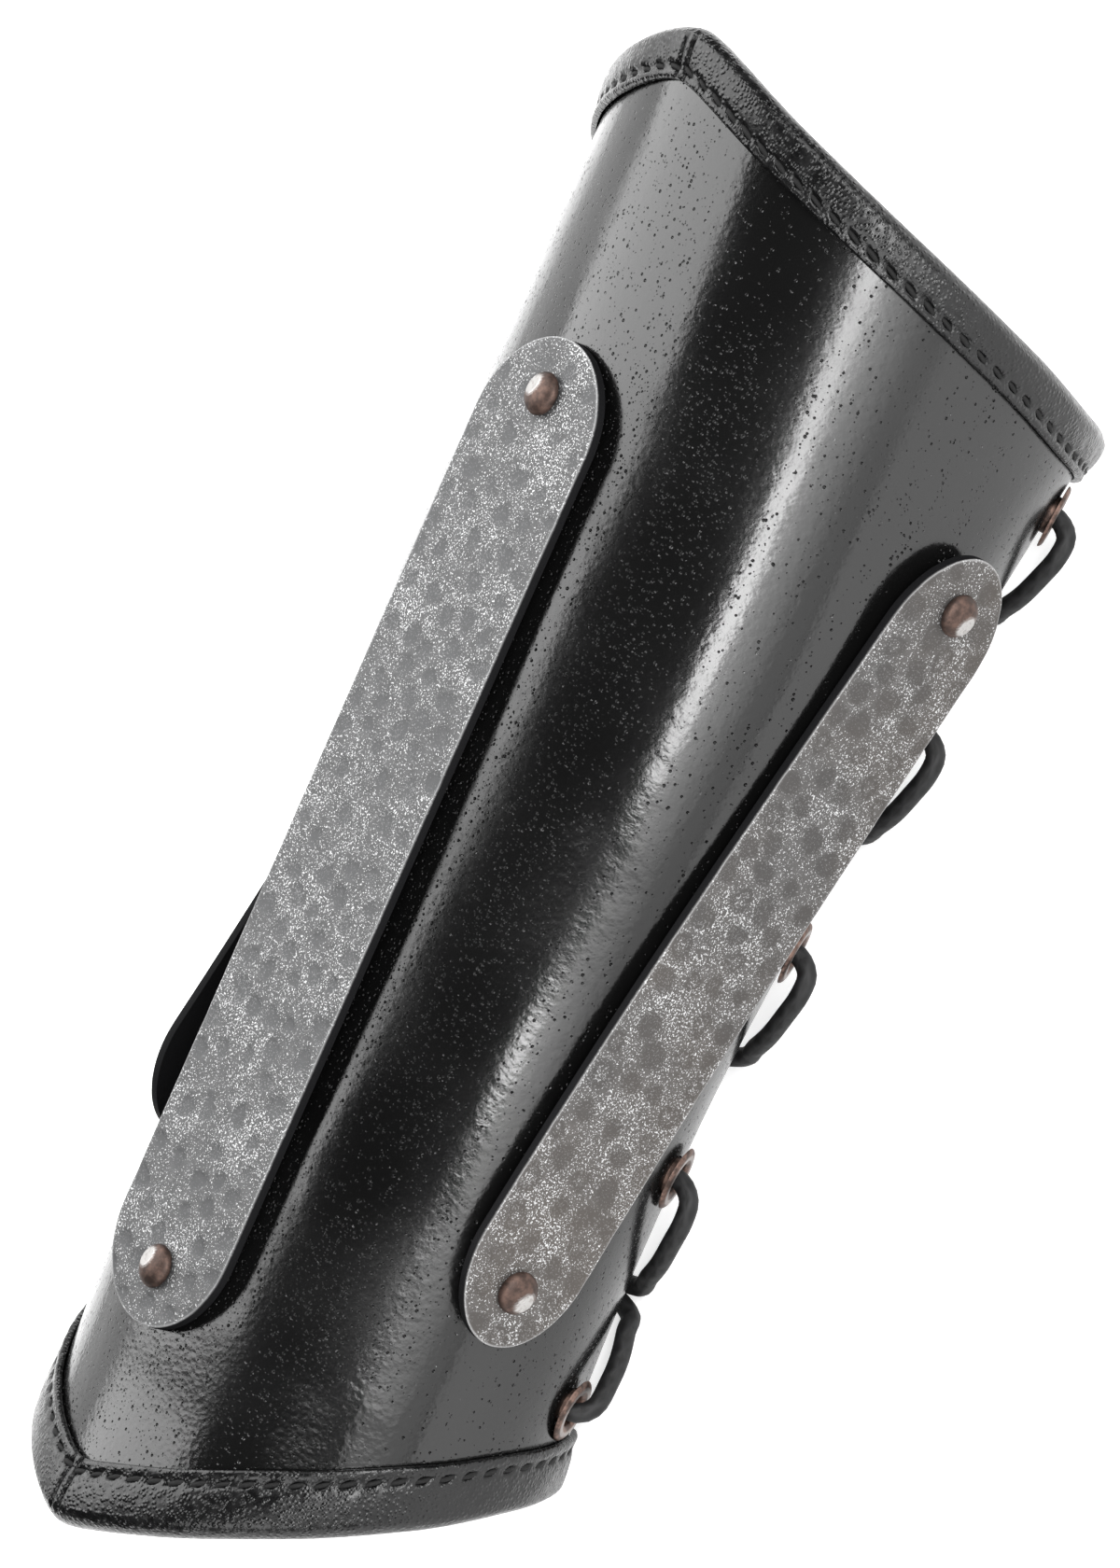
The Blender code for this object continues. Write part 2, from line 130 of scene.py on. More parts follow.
def tubeMiddle(y):                      # height of the tube's axis: the lacing edges are arched
    first, last = wristRim[-1][1], form["length"] - elbowRim[-1][1]
    middle, reach = 0.5 * (first + last), 0.5 * (last - first)
    sole = form["gap"] + form["binding"] + spread(cover(y), y) - form["flattened"]
    edge = form["arch"] * (1.0 - ((y - middle) / reach) ** 2) - sole * facing(cover(y), y)[1]
    return edge - axes(y)[1] * np.cos(cover(y))


def lean(y):
    return form["wristLean"] * np.exp(-(y / 30.0)**2)


def surface(phi, y, out=0.0):           # y counts from the wrist tip, out from the leather's face
    phi, y = np.asarray(phi, float), np.asarray(y, float)
    wide, high = axes(y)
    nx, nz = facing(phi, y)
    lift = out + spread(phi, y)
    x = wide * np.sin(phi) + lean(y) + lift * nx
    z = tubeMiddle(y) + high * np.cos(phi) + lift * nz
    return np.stack(np.broadcast_arrays(x, y - 0.5 * form["length"], z), -1)


def fromEdge(side, back, y, out=0.0):   # the same, as a distance back from a lacing edge
    wide, high = axes(np.asarray(y, float))
    return surface(side * (cover(y) - back / (0.5 * (wide + high))), y, out)


def rimY(end, share):
    if end == "elbow":
        return form["length"] - along(elbowRim, np.abs(share))
    return along(wristRim, np.abs(share))


def rimStretch(end, share):             # a step square to the slanting rim is longer along the arm
    step = 0.02
    near = np.clip(np.abs(share), step, 1.0 - step)
    slope = (rimY(end, near + step) - rimY(end, near - step)) / (2.0 * step)
    y = rimY(end, near)
    wide, high = axes(y)
    return np.hypot(1.0, slope / (cover(y) * 0.5 * (wide + high)))


# helpers for meshes
def finishMesh(mesh, angle):            # faces outwards, smooth but for the sharp edges
    work = bmesh.new()
    work.from_mesh(mesh)
    bmesh.ops.recalc_face_normals(work, faces=work.faces)
    work.to_mesh(mesh)
    work.free()
    mesh.shade_smooth()
    mesh.set_sharp_from_angle(angle=math.radians(angle))


def makeMesh(name, verts, faces, mats, angle=40.0, faceMats=None, marks=None):
    mesh = bpy.data.meshes.new(name)
    mesh.from_pydata((mm * np.asarray(verts, float)).tolist(), [], faces)
    for mat in mats:
        mesh.materials.append(mat)
    if faceMats is not None:
        mesh.polygons.foreach_set("material_index", faceMats)
    for key, values in (marks or {}).items():
        mesh.attributes.new(key, "FLOAT", "POINT").data.foreach_set("value", np.asarray(values, np.float32))
    finishMesh(mesh, angle)
    return addObject(name, mesh)


def ringFaces(rings, around):           # quads between closed rings
    return [(r * around + c, r * around + (c + 1) % around, (r + 1) * around + (c + 1) % around,
             (r + 1) * around + c) for r in range(rings - 1) for c in range(around)]


def tubeFaces(rings, around):           # the same with both ends capped
    last = (rings - 1) * around
    ends = [tuple(range(around))[::-1], tuple(range(last, last + around))]
    return ringFaces(rings, around) + ends


def standing(point, normal):            # placement with its Z along normal
    up = Vector(normal).normalized()
    side = up.cross(Vector((0.0, 1.0, 0.0))).normalized()
    return Matrix.Translation(Vector(point)) @ Matrix((side, up.cross(side), up)).transposed().to_4x4()


def settle(obj):                        # modifiers become plain mesh
    depsgraph = bpy.context.evaluated_depsgraph_get()
    mesh = bpy.data.meshes.new_from_object(obj.evaluated_get(depsgraph))
    obj.modifiers.clear()
    obj.data = mesh
    return obj


def newTree(name, inputs):              # a node tree, its named inputs, and ways to add and join nodes
    tree = bpy.data.node_groups.new(name, "GeometryNodeTree")
    face = tree.interface
    keys = {key: face.new_socket(key, in_out="INPUT", socket_type="NodeSocket" + kind).identifier
            for key, kind in inputs.items()}
    face.new_socket("Geometry", in_out="OUTPUT", socket_type="NodeSocketGeometry")

    def add(kind, **settings):
        node = tree.nodes.new(kind)
        for key, value in settings.items():
            setattr(node, key, value)
        return node

    def join(a, b, c, d):
        tree.links.new(a.outputs[b], c.inputs[d])

    return tree, keys, add, join


def growTree(obj, tree, keys, values):  # a tree with its inputs set, made plain mesh
    grown = obj.modifiers.new(tree.name, "NODES")
    grown.node_group = tree
    for key, value in values.items():
        grown[keys[key]] = value
    return settle(obj)


latheSizes = {"path": 1.0, "weld": 0.001, "drillSides": 32}


def latheTree():                        # turns a flat section about the local Z
    tree, keys, add, join = newTree("lathe", {"Section": "Geometry", "Path radius": "Float", "Sides": "Int",
                                              "Finish": "Material"})
    given, made = add("NodeGroupInput"), add("NodeGroupOutput")
    path, section = add("GeometryNodeCurvePrimitiveCircle"), add("GeometryNodeMeshToCurve")
    spin, weld = add("GeometryNodeCurveToMesh"), add("GeometryNodeMergeByDistance")
    real, paint = add("GeometryNodeRealizeInstances"), add("GeometryNodeSetMaterial")
    weld.inputs["Distance"].default_value = mm * latheSizes["weld"]
    join(given, "Path radius", path, "Radius")
    join(given, "Sides", path, "Resolution")
    join(given, "Section", section, "Mesh")
    join(path, "Curve", spin, "Curve")
    join(section, "Curve", spin, "Profile Curve")
    join(spin, "Mesh", weld, "Geometry")
    join(weld, "Geometry", real, "Geometry")
    join(real, "Geometry", paint, "Geometry")
    join(given, "Finish", paint, "Material")
    join(paint, "Geometry", made, "Geometry")
    return tree, keys


lathe, latheKeys = latheTree()


def turned(name, section, place, sides, mat, angle=40.0, shape=None):
    mesh = bpy.data.meshes.new(name)    # section of (radius, height), closed unless it ends on the axis
    last, path = len(section) - 1, latheSizes["path"]
    edges = [(k, k + 1) for k in range(last)] + ([(last, 0)] if section[0][0] > 0.0 else [])
    mesh.from_pydata([(mm * (radius - path), -mm * height, 0.0) for radius, height in section], edges, [])
    obj = addObject(name, mesh)
    growTree(obj, lathe, latheKeys, {"Path radius": mm * path, "Sides": sides, "Finish": mat})
    shaped = [shape(vert.co / mm) if shape else (vert.co / mm, 0.0) for vert in obj.data.vertices]
    for vert, (point, _) in zip(obj.data.vertices, shaped):
        vert.co = mm * (place @ point)
    if shape:                           # shape also says how worn each point is
        worn = obj.data.attributes.new("worn", "FLOAT", "POINT")
        worn.data.foreach_set("value", [wear for _, wear in shaped])
    finishMesh(obj.data, angle)
    return obj


def dress(obj, slot, *nodes):
    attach(obj, "root")
    if nodes:
        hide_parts(*nodes)
    return obj


def pierce(obj, holes, angle=40.0):     # round holes: (placement, radius, lowest, highest)
    drills = bmesh.new()
    for place, radius, low, high in holes:
        section = ((0.0, low), (radius, low), (radius, high), (0.0, high))
        drill = turned("drill", section, place, latheSizes["drillSides"], obj.data.materials[0])
        drills.from_mesh(drill.data)
        bpy.data.objects.remove(drill)
    tool = makeMesh(obj.name + "Drills", [], [], [obj.data.materials[0]])
    drills.to_mesh(tool.data)
    drills.free()
    cut = obj.modifiers.new("holes", "BOOLEAN")
    cut.operation = "DIFFERENCE"
    cut.solver = "EXACT"
    cut.object = tool
    settle(obj)
    bpy.data.objects.remove(tool)
    obj.data.set_sharp_from_angle(angle=math.radians(angle))


# helpers for materials
def startMaterial(name):
    mat = bpy.data.materials.new(name)
    mat.use_nodes = True
    return mat, mat.node_tree, mat.node_tree.nodes["Principled BSDF"]


def put(tree, kind, links=None, **settings):    # a node with its settings, values and links
    node = tree.nodes.new("ShaderNode" + kind)
    for key, value in settings.items():
        setattr(node, key, value)
    for key, value in (links or {}).items():
        if isinstance(value, bpy.types.NodeSocket):
            tree.links.new(value, node.inputs[key])
        else:
            node.inputs[key].default_value = value
    return node


def objectPlace(tree, scale=(1.0, 1.0, 1.0), turn=(0.0, 0.0, 0.0)):
    where = put(tree, "TexCoord").outputs["Object"]
    return put(tree, "Mapping", {"Vector": where, "Scale": scale, "Rotation": turn}).outputs["Vector"]


def noiseOf(tree, where, scale, detail=2.0, rough=0.5, warp=0.0):
    made = put(tree, "TexNoise", {"Vector": where, "Scale": scale, "Detail": detail, "Roughness": rough,
                                  "Distortion": warp})
    return made.outputs["Fac"]


def spots(tree, where, scale):          # distance and colour of scattered cells
    made = put(tree, "TexVoronoi", {"Vector": where, "Scale": scale, "Randomness": 1.0})
    return made.outputs["Distance"], made.outputs["Color"]


def stepped(tree, value, low, high, start=0.0, end=1.0):
    made = put(tree, "MapRange", {"Value": value, "From Min": low, "From Max": high, "To Min": start,
                                  "To Max": end}, interpolation_type="SMOOTHSTEP")
    return made.outputs["Result"]


def reckon(tree, how, a, b):
    return put(tree, "Math", {0: a, 1: b}, operation=how).outputs["Value"]


def times(tree, a, b):
    return reckon(tree, "MULTIPLY", a, b)


def plus(tree, a, b):
    return reckon(tree, "ADD", a, b)


def scaled(colour, factor):
    return tuple(factor * part for part in colour)


def wire(tree, shader, sockets):        # links and plain values to the shader's own sockets
    for name, value in sockets.items():
        if isinstance(value, bpy.types.NodeSocket):
            tree.links.new(value, shader.inputs[name])
        else:
            shader.inputs[name].default_value = value


def blendColours(tree, share, a, b):
    made = put(tree, "Mix", data_type="RGBA")
    for socket, value in ((made.inputs[0], share), (made.inputs[6], a), (made.inputs[7], b)):
        if isinstance(value, bpy.types.NodeSocket):
            tree.links.new(value, socket)
        else:
            socket.default_value = (*value, 1.0) if isinstance(value, tuple) else value
    return made.outputs[2]


def bump(tree, height, distance, strength=1.0, under=None):
    made = put(tree, "Bump", {"Height": height, "Distance": distance, "Strength": strength})
    if under is not None:
        tree.links.new(under, made.inputs["Normal"])
    return made.outputs["Normal"]


def mark(tree, key):
    return put(tree, "Attribute", attribute_name=key).outputs["Fac"]


# materials of leather, steel, copper and cord
leatherLook = {
    "colour": (0.0020, 0.0020, 0.0020), "worn": 1.7, "roughness": 0.17, "smoothest": -0.03, "roughest": 0.22,
    "poreScale": 1300.0, "poreDepth": 0.00034, "largePore": 0.29, "smallPore": 0.24, "smaller": 1.6,
    "poreShine": (0.5, 0.22), "driftScale": 38.0, "wearScale": 14.0, "grainScale": 2100.0,
    "hideScale": 1250.0, "lumpScale": 900.0, "grainDepth": 0.00004, "creaseScale": 75.0,
    "creaseDepth": 0.00016}


def pores(tree, where, scale, size, kept):       # small round pits, the kept share of them
    distance, cell = spots(tree, where, scale)
    draws = put(tree, "SeparateColor", {"Color": cell})
    chosen = stepped(tree, reckon(tree, "SUBTRACT", kept, draws.outputs["Red"]), 0.0, 0.08)
    width = stepped(tree, draws.outputs["Green"], 0.0, 1.0, 0.5, 1.25)
    distance = reckon(tree, "DIVIDE", distance, width)
    return times(tree, stepped(tree, distance, 0.35 * size, size, 1.0, 0.0), chosen)


def glossyLeather():
    mat, tree, shader = startMaterial("glossyLeather")
    where = objectPlace(tree)
    look = leatherLook
    cloud = noiseOf(tree, where, look["driftScale"], 3.0)
    dense = stepped(tree, cloud, 0.3, 0.65, 0.45, 1.0)           # pores come in drifts
    split = put(tree, "SeparateXYZ", {"Vector": where})
    sideways, wristward = split.outputs["X"], split.outputs["Y"]
    # fewer pores towards the elbow, at the wrist edge and low down on the right: from, to, share, share
    for value, *limits in ((wristward, 0.10, 0.05, 0.45, 1.0), (wristward, -0.11, -0.06, 0.6, 1.0),
                           (sideways, 0.026, 0.036, 1.0, 0.45)):
        dense = times(tree, dense, stepped(tree, value, *limits))
    large = pores(tree, where, look["poreScale"], look["largePore"], dense)
    small = pores(tree, where, look["smaller"] * look["poreScale"], look["smallPore"], dense)
    pit = plus(tree, large, times(tree, small, 0.5))
    coarse = stepped(tree, wristward, -0.03, -0.10, 0.03, 1.0)   # the grain shows more at the wrist
    hide = spots(tree, where, look["hideScale"])[0]
    grain = plus(tree, times(tree, noiseOf(tree, where, look["grainScale"], 2.0), 0.3),
                 times(tree, hide, times(tree, coarse, 0.85)))
    grain = plus(tree, grain, times(tree, noiseOf(tree, where, look["lumpScale"], 2.0), 1.1))
    stretched = objectPlace(tree, (1.0, 1.7, 1.0), (0.0, 0.0, 0.5))
    crease = noiseOf(tree, stretched, look["creaseScale"], 4.0, 0.55, 0.5)
    soft = bump(tree, crease, look["creaseDepth"], 0.35)
    fine = bump(tree, grain, look["grainDepth"], 0.6, soft)
    deep = bump(tree, pit, -look["poreDepth"], 1.0, fine)
    rough = stepped(tree, plus(tree, cloud, times(tree, pit, 0.6)), 0.3, 1.2,
                    look["roughness"] + look["smoothest"], look["roughness"] + look["roughest"])
    wear = stepped(tree, noiseOf(tree, where, look["wearScale"], 4.0), 0.4, 0.75)
    wire(tree, shader, {
        "Normal": deep, "Roughness": rough,
        "Base Color": blendColours(tree, wear, look["colour"], scaled(look["colour"], look["worn"])),
        "Specular IOR Level": stepped(tree, pit, 0.0, 0.9, *look["poreShine"])})
    return mat


fleshLook = {"colour": (0.030, 0.027, 0.025), "dark": 0.55, "roughness": 0.85, "fibreScale": 900.0,
             "patchScale": 60.0, "fibreDepth": 0.0004, "sheen": 0.15}


def fleshLeather():
    mat, tree, shader = startMaterial("fleshLeather")
    where = objectPlace(tree)
    fibre = noiseOf(tree, where, fleshLook["fibreScale"], 6.0, 0.7, 0.6)
    patch = noiseOf(tree, where, fleshLook["patchScale"], 3.0)
    pale = stepped(tree, plus(tree, fibre, patch), 0.7, 1.35)
    wire(tree, shader, {
        "Base Color": blendColours(tree, pale, scaled(fleshLook["colour"], fleshLook["dark"]),
                                   fleshLook["colour"]),
        "Normal": bump(tree, fibre, fleshLook["fibreDepth"], 0.6),
        "Roughness": fleshLook["roughness"], "Sheen Weight": fleshLook["sheen"]})
    return mat


edgeLook = {"colour": (0.011, 0.009, 0.008), "pale": 2.2, "roughness": 0.42, "layerScale": 500.0,
            "layerDepth": 0.0002}


def burnishedEdge():
    mat, tree, shader = startMaterial("burnishedEdge")
    layer = noiseOf(tree, objectPlace(tree), edgeLook["layerScale"], 4.0, 0.6)
    pale = scaled(edgeLook["colour"], edgeLook["pale"])
    wire(tree, shader, {
        "Base Color": blendColours(tree, layer, edgeLook["colour"], pale),
        "Normal": bump(tree, layer, edgeLook["layerDepth"], 0.5), "Roughness": edgeLook["roughness"]})
    return mat


trimLook = {"colour": (0.0023, 0.0023, 0.0024), "worn": 1.5, "roughness": 0.24, "pebbleScale": 1600.0,
            "pebbleDepth": 0.00017, "unevenScale": 620.0, "wrinkleScale": 210.0, "wrinkleDepth": 0.0002,
            "shine": 0.33, "slotShine": 0.03}


def trimLeather():
    mat, tree, shader = startMaterial("trimLeather")
    where = objectPlace(tree)
    look = trimLook
    pebble = stepped(tree, spots(tree, where, look["pebbleScale"])[0], 0.05, 0.62, 1.0, 0.0)
    uneven = noiseOf(tree, where, look["unevenScale"], 4.0, 0.6)
    height = plus(tree, times(tree, pebble, 0.6), times(tree, uneven, 0.45))
    soft = bump(tree, noiseOf(tree, where, look["wrinkleScale"], 4.0, 0.6, 0.8), look["wrinkleDepth"], 0.3)
    shader.inputs["Specular IOR Level"].default_value = look["shine"]
    wire(tree, shader, {
        "Normal": bump(tree, height, look["pebbleDepth"], 0.75, soft),
        "Roughness": stepped(tree, uneven, 0.3, 0.7, look["roughness"] - 0.04, look["roughness"] + 0.08),
        "Base Color": blendColours(tree, stepped(tree, uneven, 0.35, 0.7), look["colour"],
                                   scaled(look["colour"], look["worn"])),
        "Specular IOR Level": stepped(tree, mark(tree, "slot"), 0.15, 0.7, look["shine"],
                                      look["slotShine"])})
    return mat


# wall is painted shade: the splints' side walls and underside are coloured near black
steelLook = {
    "colour": (0.075, 0.0752, 0.076), "mottle": 0.72, "dark": (0.034, 0.0345, 0.0355), "hollowed": 0.9,
    "fleck": (0.46, 0.462, 0.465), "rust": (0.085, 0.068, 0.055), "wall": (0.007, 0.007, 0.0075),
    "rubbedEdgeAndHighlight": 0.38, "driftScale": 95.0, "fleckScale": 3700.0, "mottleScale": 420.0, "rustScale": 30.0,
    "fleckDepth": 0.00012, "roughness": (0.56, 0.42), "metallic": (0.45, 0.0), "shine": (0.25, 0.02)}


def hammeredSteel():
    mat, tree, shader = startMaterial("hammeredSteel")
    where = objectPlace(tree)
    look = steelLook
    hollow, edge, wall = mark(tree, "hollow"), mark(tree, "edge"), mark(tree, "wall")
    drift = noiseOf(tree, where, look["driftScale"], 3.0, 0.6)
    speck = noiseOf(tree, where, look["fleckScale"], 2.0, 0.65)
    many = stepped(tree, drift, 0.32, 0.70, 0.625, 0.560)       # flecks are thicker in drifts
    fleck = stepped(tree, reckon(tree, "SUBTRACT", speck, many), -0.01, 0.035)
    deepIn = times(tree, hollow, look["hollowed"])
    flat = reckon(tree, "SUBTRACT", 1.0, deepIn)
    mottle = stepped(tree, noiseOf(tree, where, look["mottleScale"], 5.0, 0.7), 0.3, 0.7)
    colour = blendColours(tree, mottle, scaled(look["colour"], look["mottle"]), look["colour"])
    colour = blendColours(tree, deepIn, colour, look["dark"])
    rusty = stepped(tree, noiseOf(tree, where, look["rustScale"], 3.0, 0.6), 0.25, 0.7, 0.3, 1.0)
    colour = blendColours(tree, times(tree, rusty, mark(tree, "warm")), colour, look["rust"])
    colour = blendColours(tree, times(tree, fleck, flat), colour, look["fleck"])
    # a thin pale line along the top edges: part rubbed steel, part painted highlight
    colour = blendColours(tree, times(tree, edge, look["rubbedEdgeAndHighlight"]), colour, look["fleck"])
    rugged = times(tree, plus(tree, speck, times(tree, drift, 0.3)), flat)
    shader.inputs["Specular IOR Level"].default_value = look["shine"][0]
    # painted shade: where the wall mark is, the colour goes near black and the steel turns dull
    wire(tree, shader, {
        "Base Color": blendColours(tree, wall, colour, look["wall"]),
        "Roughness": stepped(tree, hollow, 0.0, 1.0, *look["roughness"]),
        "Normal": bump(tree, rugged, look["fleckDepth"], 0.6),
        "Metallic": stepped(tree, wall, 0.2, 1.0, *look["metallic"]),
        "Specular IOR Level": stepped(tree, wall, 0.2, 0.9, *look["shine"])})
    return mat


copperLook = {"colour": (0.098, 0.062, 0.050), "worn": (0.35, 0.34, 0.33), "dark": (0.036, 0.024, 0.020),
              "patchScale": 700.0, "scuffScale": 1500.0, "patchDepth": 0.00012, "metallic": 0.8}


def agedCopper(name, brightness):
    mat, tree, shader = startMaterial(name)
    where = objectPlace(tree)
    worn = mark(tree, "worn")
    patch = noiseOf(tree, where, copperLook["patchScale"], 5.0, 0.65)
    brown = blendColours(tree, stepped(tree, patch, 0.35, 0.7), copperLook["dark"],
                         scaled(copperLook["colour"], brightness))
    scuff = stepped(tree, noiseOf(tree, where, copperLook["scuffScale"], 3.0), 0.25, 0.5, 0.55, 1.0)
    dull = reckon(tree, "SUBTRACT", patch, times(tree, worn, 0.5))
    wire(tree, shader, {
        "Base Color": blendColours(tree, times(tree, worn, scuff), brown, copperLook["worn"]),
        "Roughness": stepped(tree, dull, -0.2, 0.7, 0.26, 0.55),
        "Normal": bump(tree, patch, copperLook["patchDepth"], 0.5), "Metallic": copperLook["metallic"]})
    return mat


cordLook = {"colour": (0.0042, 0.0042, 0.0045), "dark": 0.5, "pale": 1.6, "roughness": 0.62,
            "fibreScale": 3200.0, "plaitDepth": 0.00006, "shine": 0.35}


def braidedCord():
    mat, tree, shader = startMaterial("braidedCord")
    strands = put(tree, "UVMap", uv_map="strand").outputs["UV"]
    split = put(tree, "SeparateXYZ", {"Vector": strands})
    around, down = split.outputs["X"], split.outputs["Y"]
    one, two = (reckon(tree, "SINE", times(tree, reckon(tree, how, around, down), 2.0 * math.pi), 0.0)
                for how in ("ADD", "SUBTRACT"))
    fibre = noiseOf(tree, objectPlace(tree), cordLook["fibreScale"], 3.0, 0.7)
    height = plus(tree, reckon(tree, "MAXIMUM", one, two), times(tree, fibre, 0.6))
    # painted shade and highlight: the braid's grooves are coloured darker and its crests paler; the fibre
    # noise adds random tone
    dark, pale = (scaled(cordLook["colour"], cordLook[key]) for key in ("dark", "pale"))
    wire(tree, shader, {
        "Normal": bump(tree, height, cordLook["plaitDepth"], 0.7),
        "Base Color": blendColours(tree, stepped(tree, height, -0.3, 1.4), dark, pale),
        "Roughness": cordLook["roughness"], "Specular IOR Level": cordLook["shine"]})
    return mat


threadLook = {"colour": (0.003, 0.003, 0.003), "pale": (0.010, 0.010, 0.010), "twistScale": 2600.0,
              "twistDepth": 0.0001, "roughness": 0.75, "shine": 0.2}


def waxedThread():
    mat, tree, shader = startMaterial("waxedThread")
    twist = noiseOf(tree, objectPlace(tree), threadLook["twistScale"], 2.0, 0.6)
    wire(tree, shader, {
        "Base Color": blendColours(tree, twist, threadLook["colour"], threadLook["pale"]),
        "Normal": bump(tree, twist, threadLook["twistDepth"], 0.6),
        "Roughness": threadLook["roughness"], "Specular IOR Level": threadLook["shine"]})
    return mat


gloss, flesh, burnish, trim = glossyLeather(), fleshLeather(), burnishedEdge(), trimLeather()
steel, cordMat, thread = hammeredSteel(), braidedCord(), waxedThread()
rivetCopper, eyeletCopper = agedCopper("rivetCopper", 1.0), agedCopper("eyeletCopper", 1.9)
print("materials ready")

# lace: one cord in and out of the eyelets
laceSizes = {"radius": 1.4, "sides": 14, "spacing": 1.1, "eyeletFirst": 48.5, "eyeletPitch": 35.05,
             "eyeletBack": 9.0, "eyeletRows": 5, "strandPitch": 3.4, "strandsRound": 4.0, "crossing": 2.0,
             "firstCrossing": 2.2, "knotReach": 6.5, "knotTurn": 2.05, "knotAhead": 4.5, "knotHeight": 9.5,
             "barBack": 8.2, "barDepth": 7.2, "barSag": 3.0, "offFloor": 0.15, "endTaper": (0.72, 0.93, 1.0)}
# back from the lacing edge, along from the eyelet, off the leather
intoEyelet = ((-2.4, -16.2, 1.8), (0.9, -14.2, 2.2), (3.8, -11.8, 2.9), (7.1, -8.2, 3.6), (9.2, -4.6, 4.2),
              (9.7, -1.8, 3.8), (9.0, 0.0, 1.3), (9.0, 0.0, -4.2), (8.1, 1.1, -6.3))
outOfFirst = ((9.0, 0.0, -4.4), (9.0, 0.0, 1.4), (8.3, 1.8, 3.2), (5.6, 5.6, 3.2), (3.2, 9.2, 2.9),
              (0.9, 12.6, 2.2), (-2.4, 15.0, 1.8))
# out from the middle of the gap, along from the last eyelet, height
freeEnd = ((9.2, 7.2, 6.4), (12.2, 9.0, 3.3), (15.4, 10.4, 1.6))


def eyeletY(row):
    return laceSizes["eyeletFirst"] + laceSizes["eyeletPitch"] * row


def laceStrand(first):                  # way points of the strand that starts on one side
    sizes, side = laceSizes, first
    points = [Vector(fromEdge(side, back, eyeletY(0) + on, out)) for back, on, out in outOfFirst]
    for row in range(1, sizes["eyeletRows"]):
        side = -side
        inward = [Vector(fromEdge(side, back, eyeletY(row) + on, out)) for back, on, out in intoEyelet]
        # one strand passes over the other
        rise = sizes["crossing"] * first + (sizes["firstCrossing"] if row == 1 else 0.0)
        points += [0.5 * (points[-1] + inward[0]) + Vector((0.0, 0.0, rise))] + inward
    lastY = eyeletY(sizes["eyeletRows"] - 1) - 0.5 * form["length"]
    for k in range(5):                                        # half a knot in the gap
        t = k / 4.0
        turn = 2.0 * math.pi * t
        wind = sizes["knotTurn"] * first
        points.append(Vector((side * sizes["knotReach"] * (1.0 - 2.0 * t),
                              lastY + sizes["knotAhead"] + wind * math.cos(turn),
                              sizes["knotHeight"] + wind * math.sin(turn))))
    return points + [Vector((-side * x, lastY + on, height)) for x, on, height in freeEnd]


def laceRoute():
    left, right = (Vector(fromEdge(side, laceSizes["barBack"], eyeletY(0), -laceSizes["barDepth"]))
                   for side in (-1, 1))
    sagging = 0.5 * (left + right) + Vector((0.0, 0.0, -laceSizes["barSag"]))
    return laceStrand(1)[::-1] + [right, sagging, left] + laceStrand(-1)


def smoothed(points, spacing):          # centripetal curve through the way points
    ends = [points[0] * 2.0 - points[1]] + list(points) + [points[-1] * 2.0 - points[-2]]
    made = [points[0]]
    for a, b, c, d in zip(ends, ends[1:], ends[2:], ends[3:]):
        t1 = (b - a).length ** 0.5
        t2 = t1 + (c - b).length ** 0.5
        t3 = t2 + (d - c).length ** 0.5
        count = max(1, round((c - b).length / spacing))
        for k in range(1, count + 1):
            t = t1 + (t2 - t1) * k / count
            p, q, r = a.lerp(b, t / t1), b.lerp(c, (t - t1) / (t2 - t1)), c.lerp(d, (t - t2) / (t3 - t2))
            u, v = p.lerp(q, t / t2), q.lerp(r, (t - t1) / (t3 - t1))
            made.append(u.lerp(v, (t - t1) / (t2 - t1)))
    return made


def makeLace():
    radius, sides = laceSizes["radius"], laceSizes["sides"]
    points = smoothed(laceRoute(), laceSizes["spacing"])
    for point in points:
        point.z = max(point.z, radius + laceSizes["offFloor"])
    verts, down, reach = [], [], 0.0
    side = Vector((0.0, 0.0, 1.0))
    for k, point in enumerate(points):
        ahead = (points[min(k + 1, len(points) - 1)] - points[max(k - 1, 0)]).normalized()
        side = (side - side.dot(ahead) * ahead).normalized()
        over = ahead.cross(side)
        reach += (point - points[k - 1]).length if k else 0.0
        end = min(k, len(points) - 1 - k)
        size = radius * laceSizes["endTaper"][min(end, 2)]
        down.append(reach / laceSizes["strandPitch"])
        for s in range(sides):
            turn = 2.0 * math.pi * s / sides
            verts.append(point + size * (math.cos(turn) * side + math.sin(turn) * over))
    lace = makeMesh("lacing", verts, tubeFaces(len(points), sides), [cordMat], 60.0)
    strand = lace.data.uv_layers.new(name="strand")
    for polygon in lace.data.polygons:
        wraps = any(lace.data.loops[i].vertex_index % sides == sides - 1 for i in polygon.loop_indices)
        for i in polygon.loop_indices:
            ring, s = divmod(lace.data.loops[i].vertex_index, sides)
            s = sides if wraps and s == 0 else s
            strand.data[i].uv = (laceSizes["strandsRound"] * s / sides, down[ring])
    print("lace", round(reach), "mm long")
    return dress(lace, "black_cord", "lace")


makeLace()

# leather body
bodySizes = {"rows": 150, "columns": 240, "edgeRound": 0.9, "edgeSteps": 3, "waves": 0.16, "waveSize": 26.0,
             "wrinkles": 0.05, "wrinkleSize": 5.0}


def swell(points):                      # slow waves and small wrinkles of hand-worked leather
    found = []
    for x, y, z in points:
        slow = noise.noise(Vector((x, y, z)) / bodySizes["waveSize"])
        small = noise.noise(Vector((x, 2.2 * y, z)) / bodySizes["wrinkleSize"])
        found.append(bodySizes["waves"] * slow + bodySizes["wrinkles"] * small * max(0.0, slow + 0.2))
    return np.array(found)


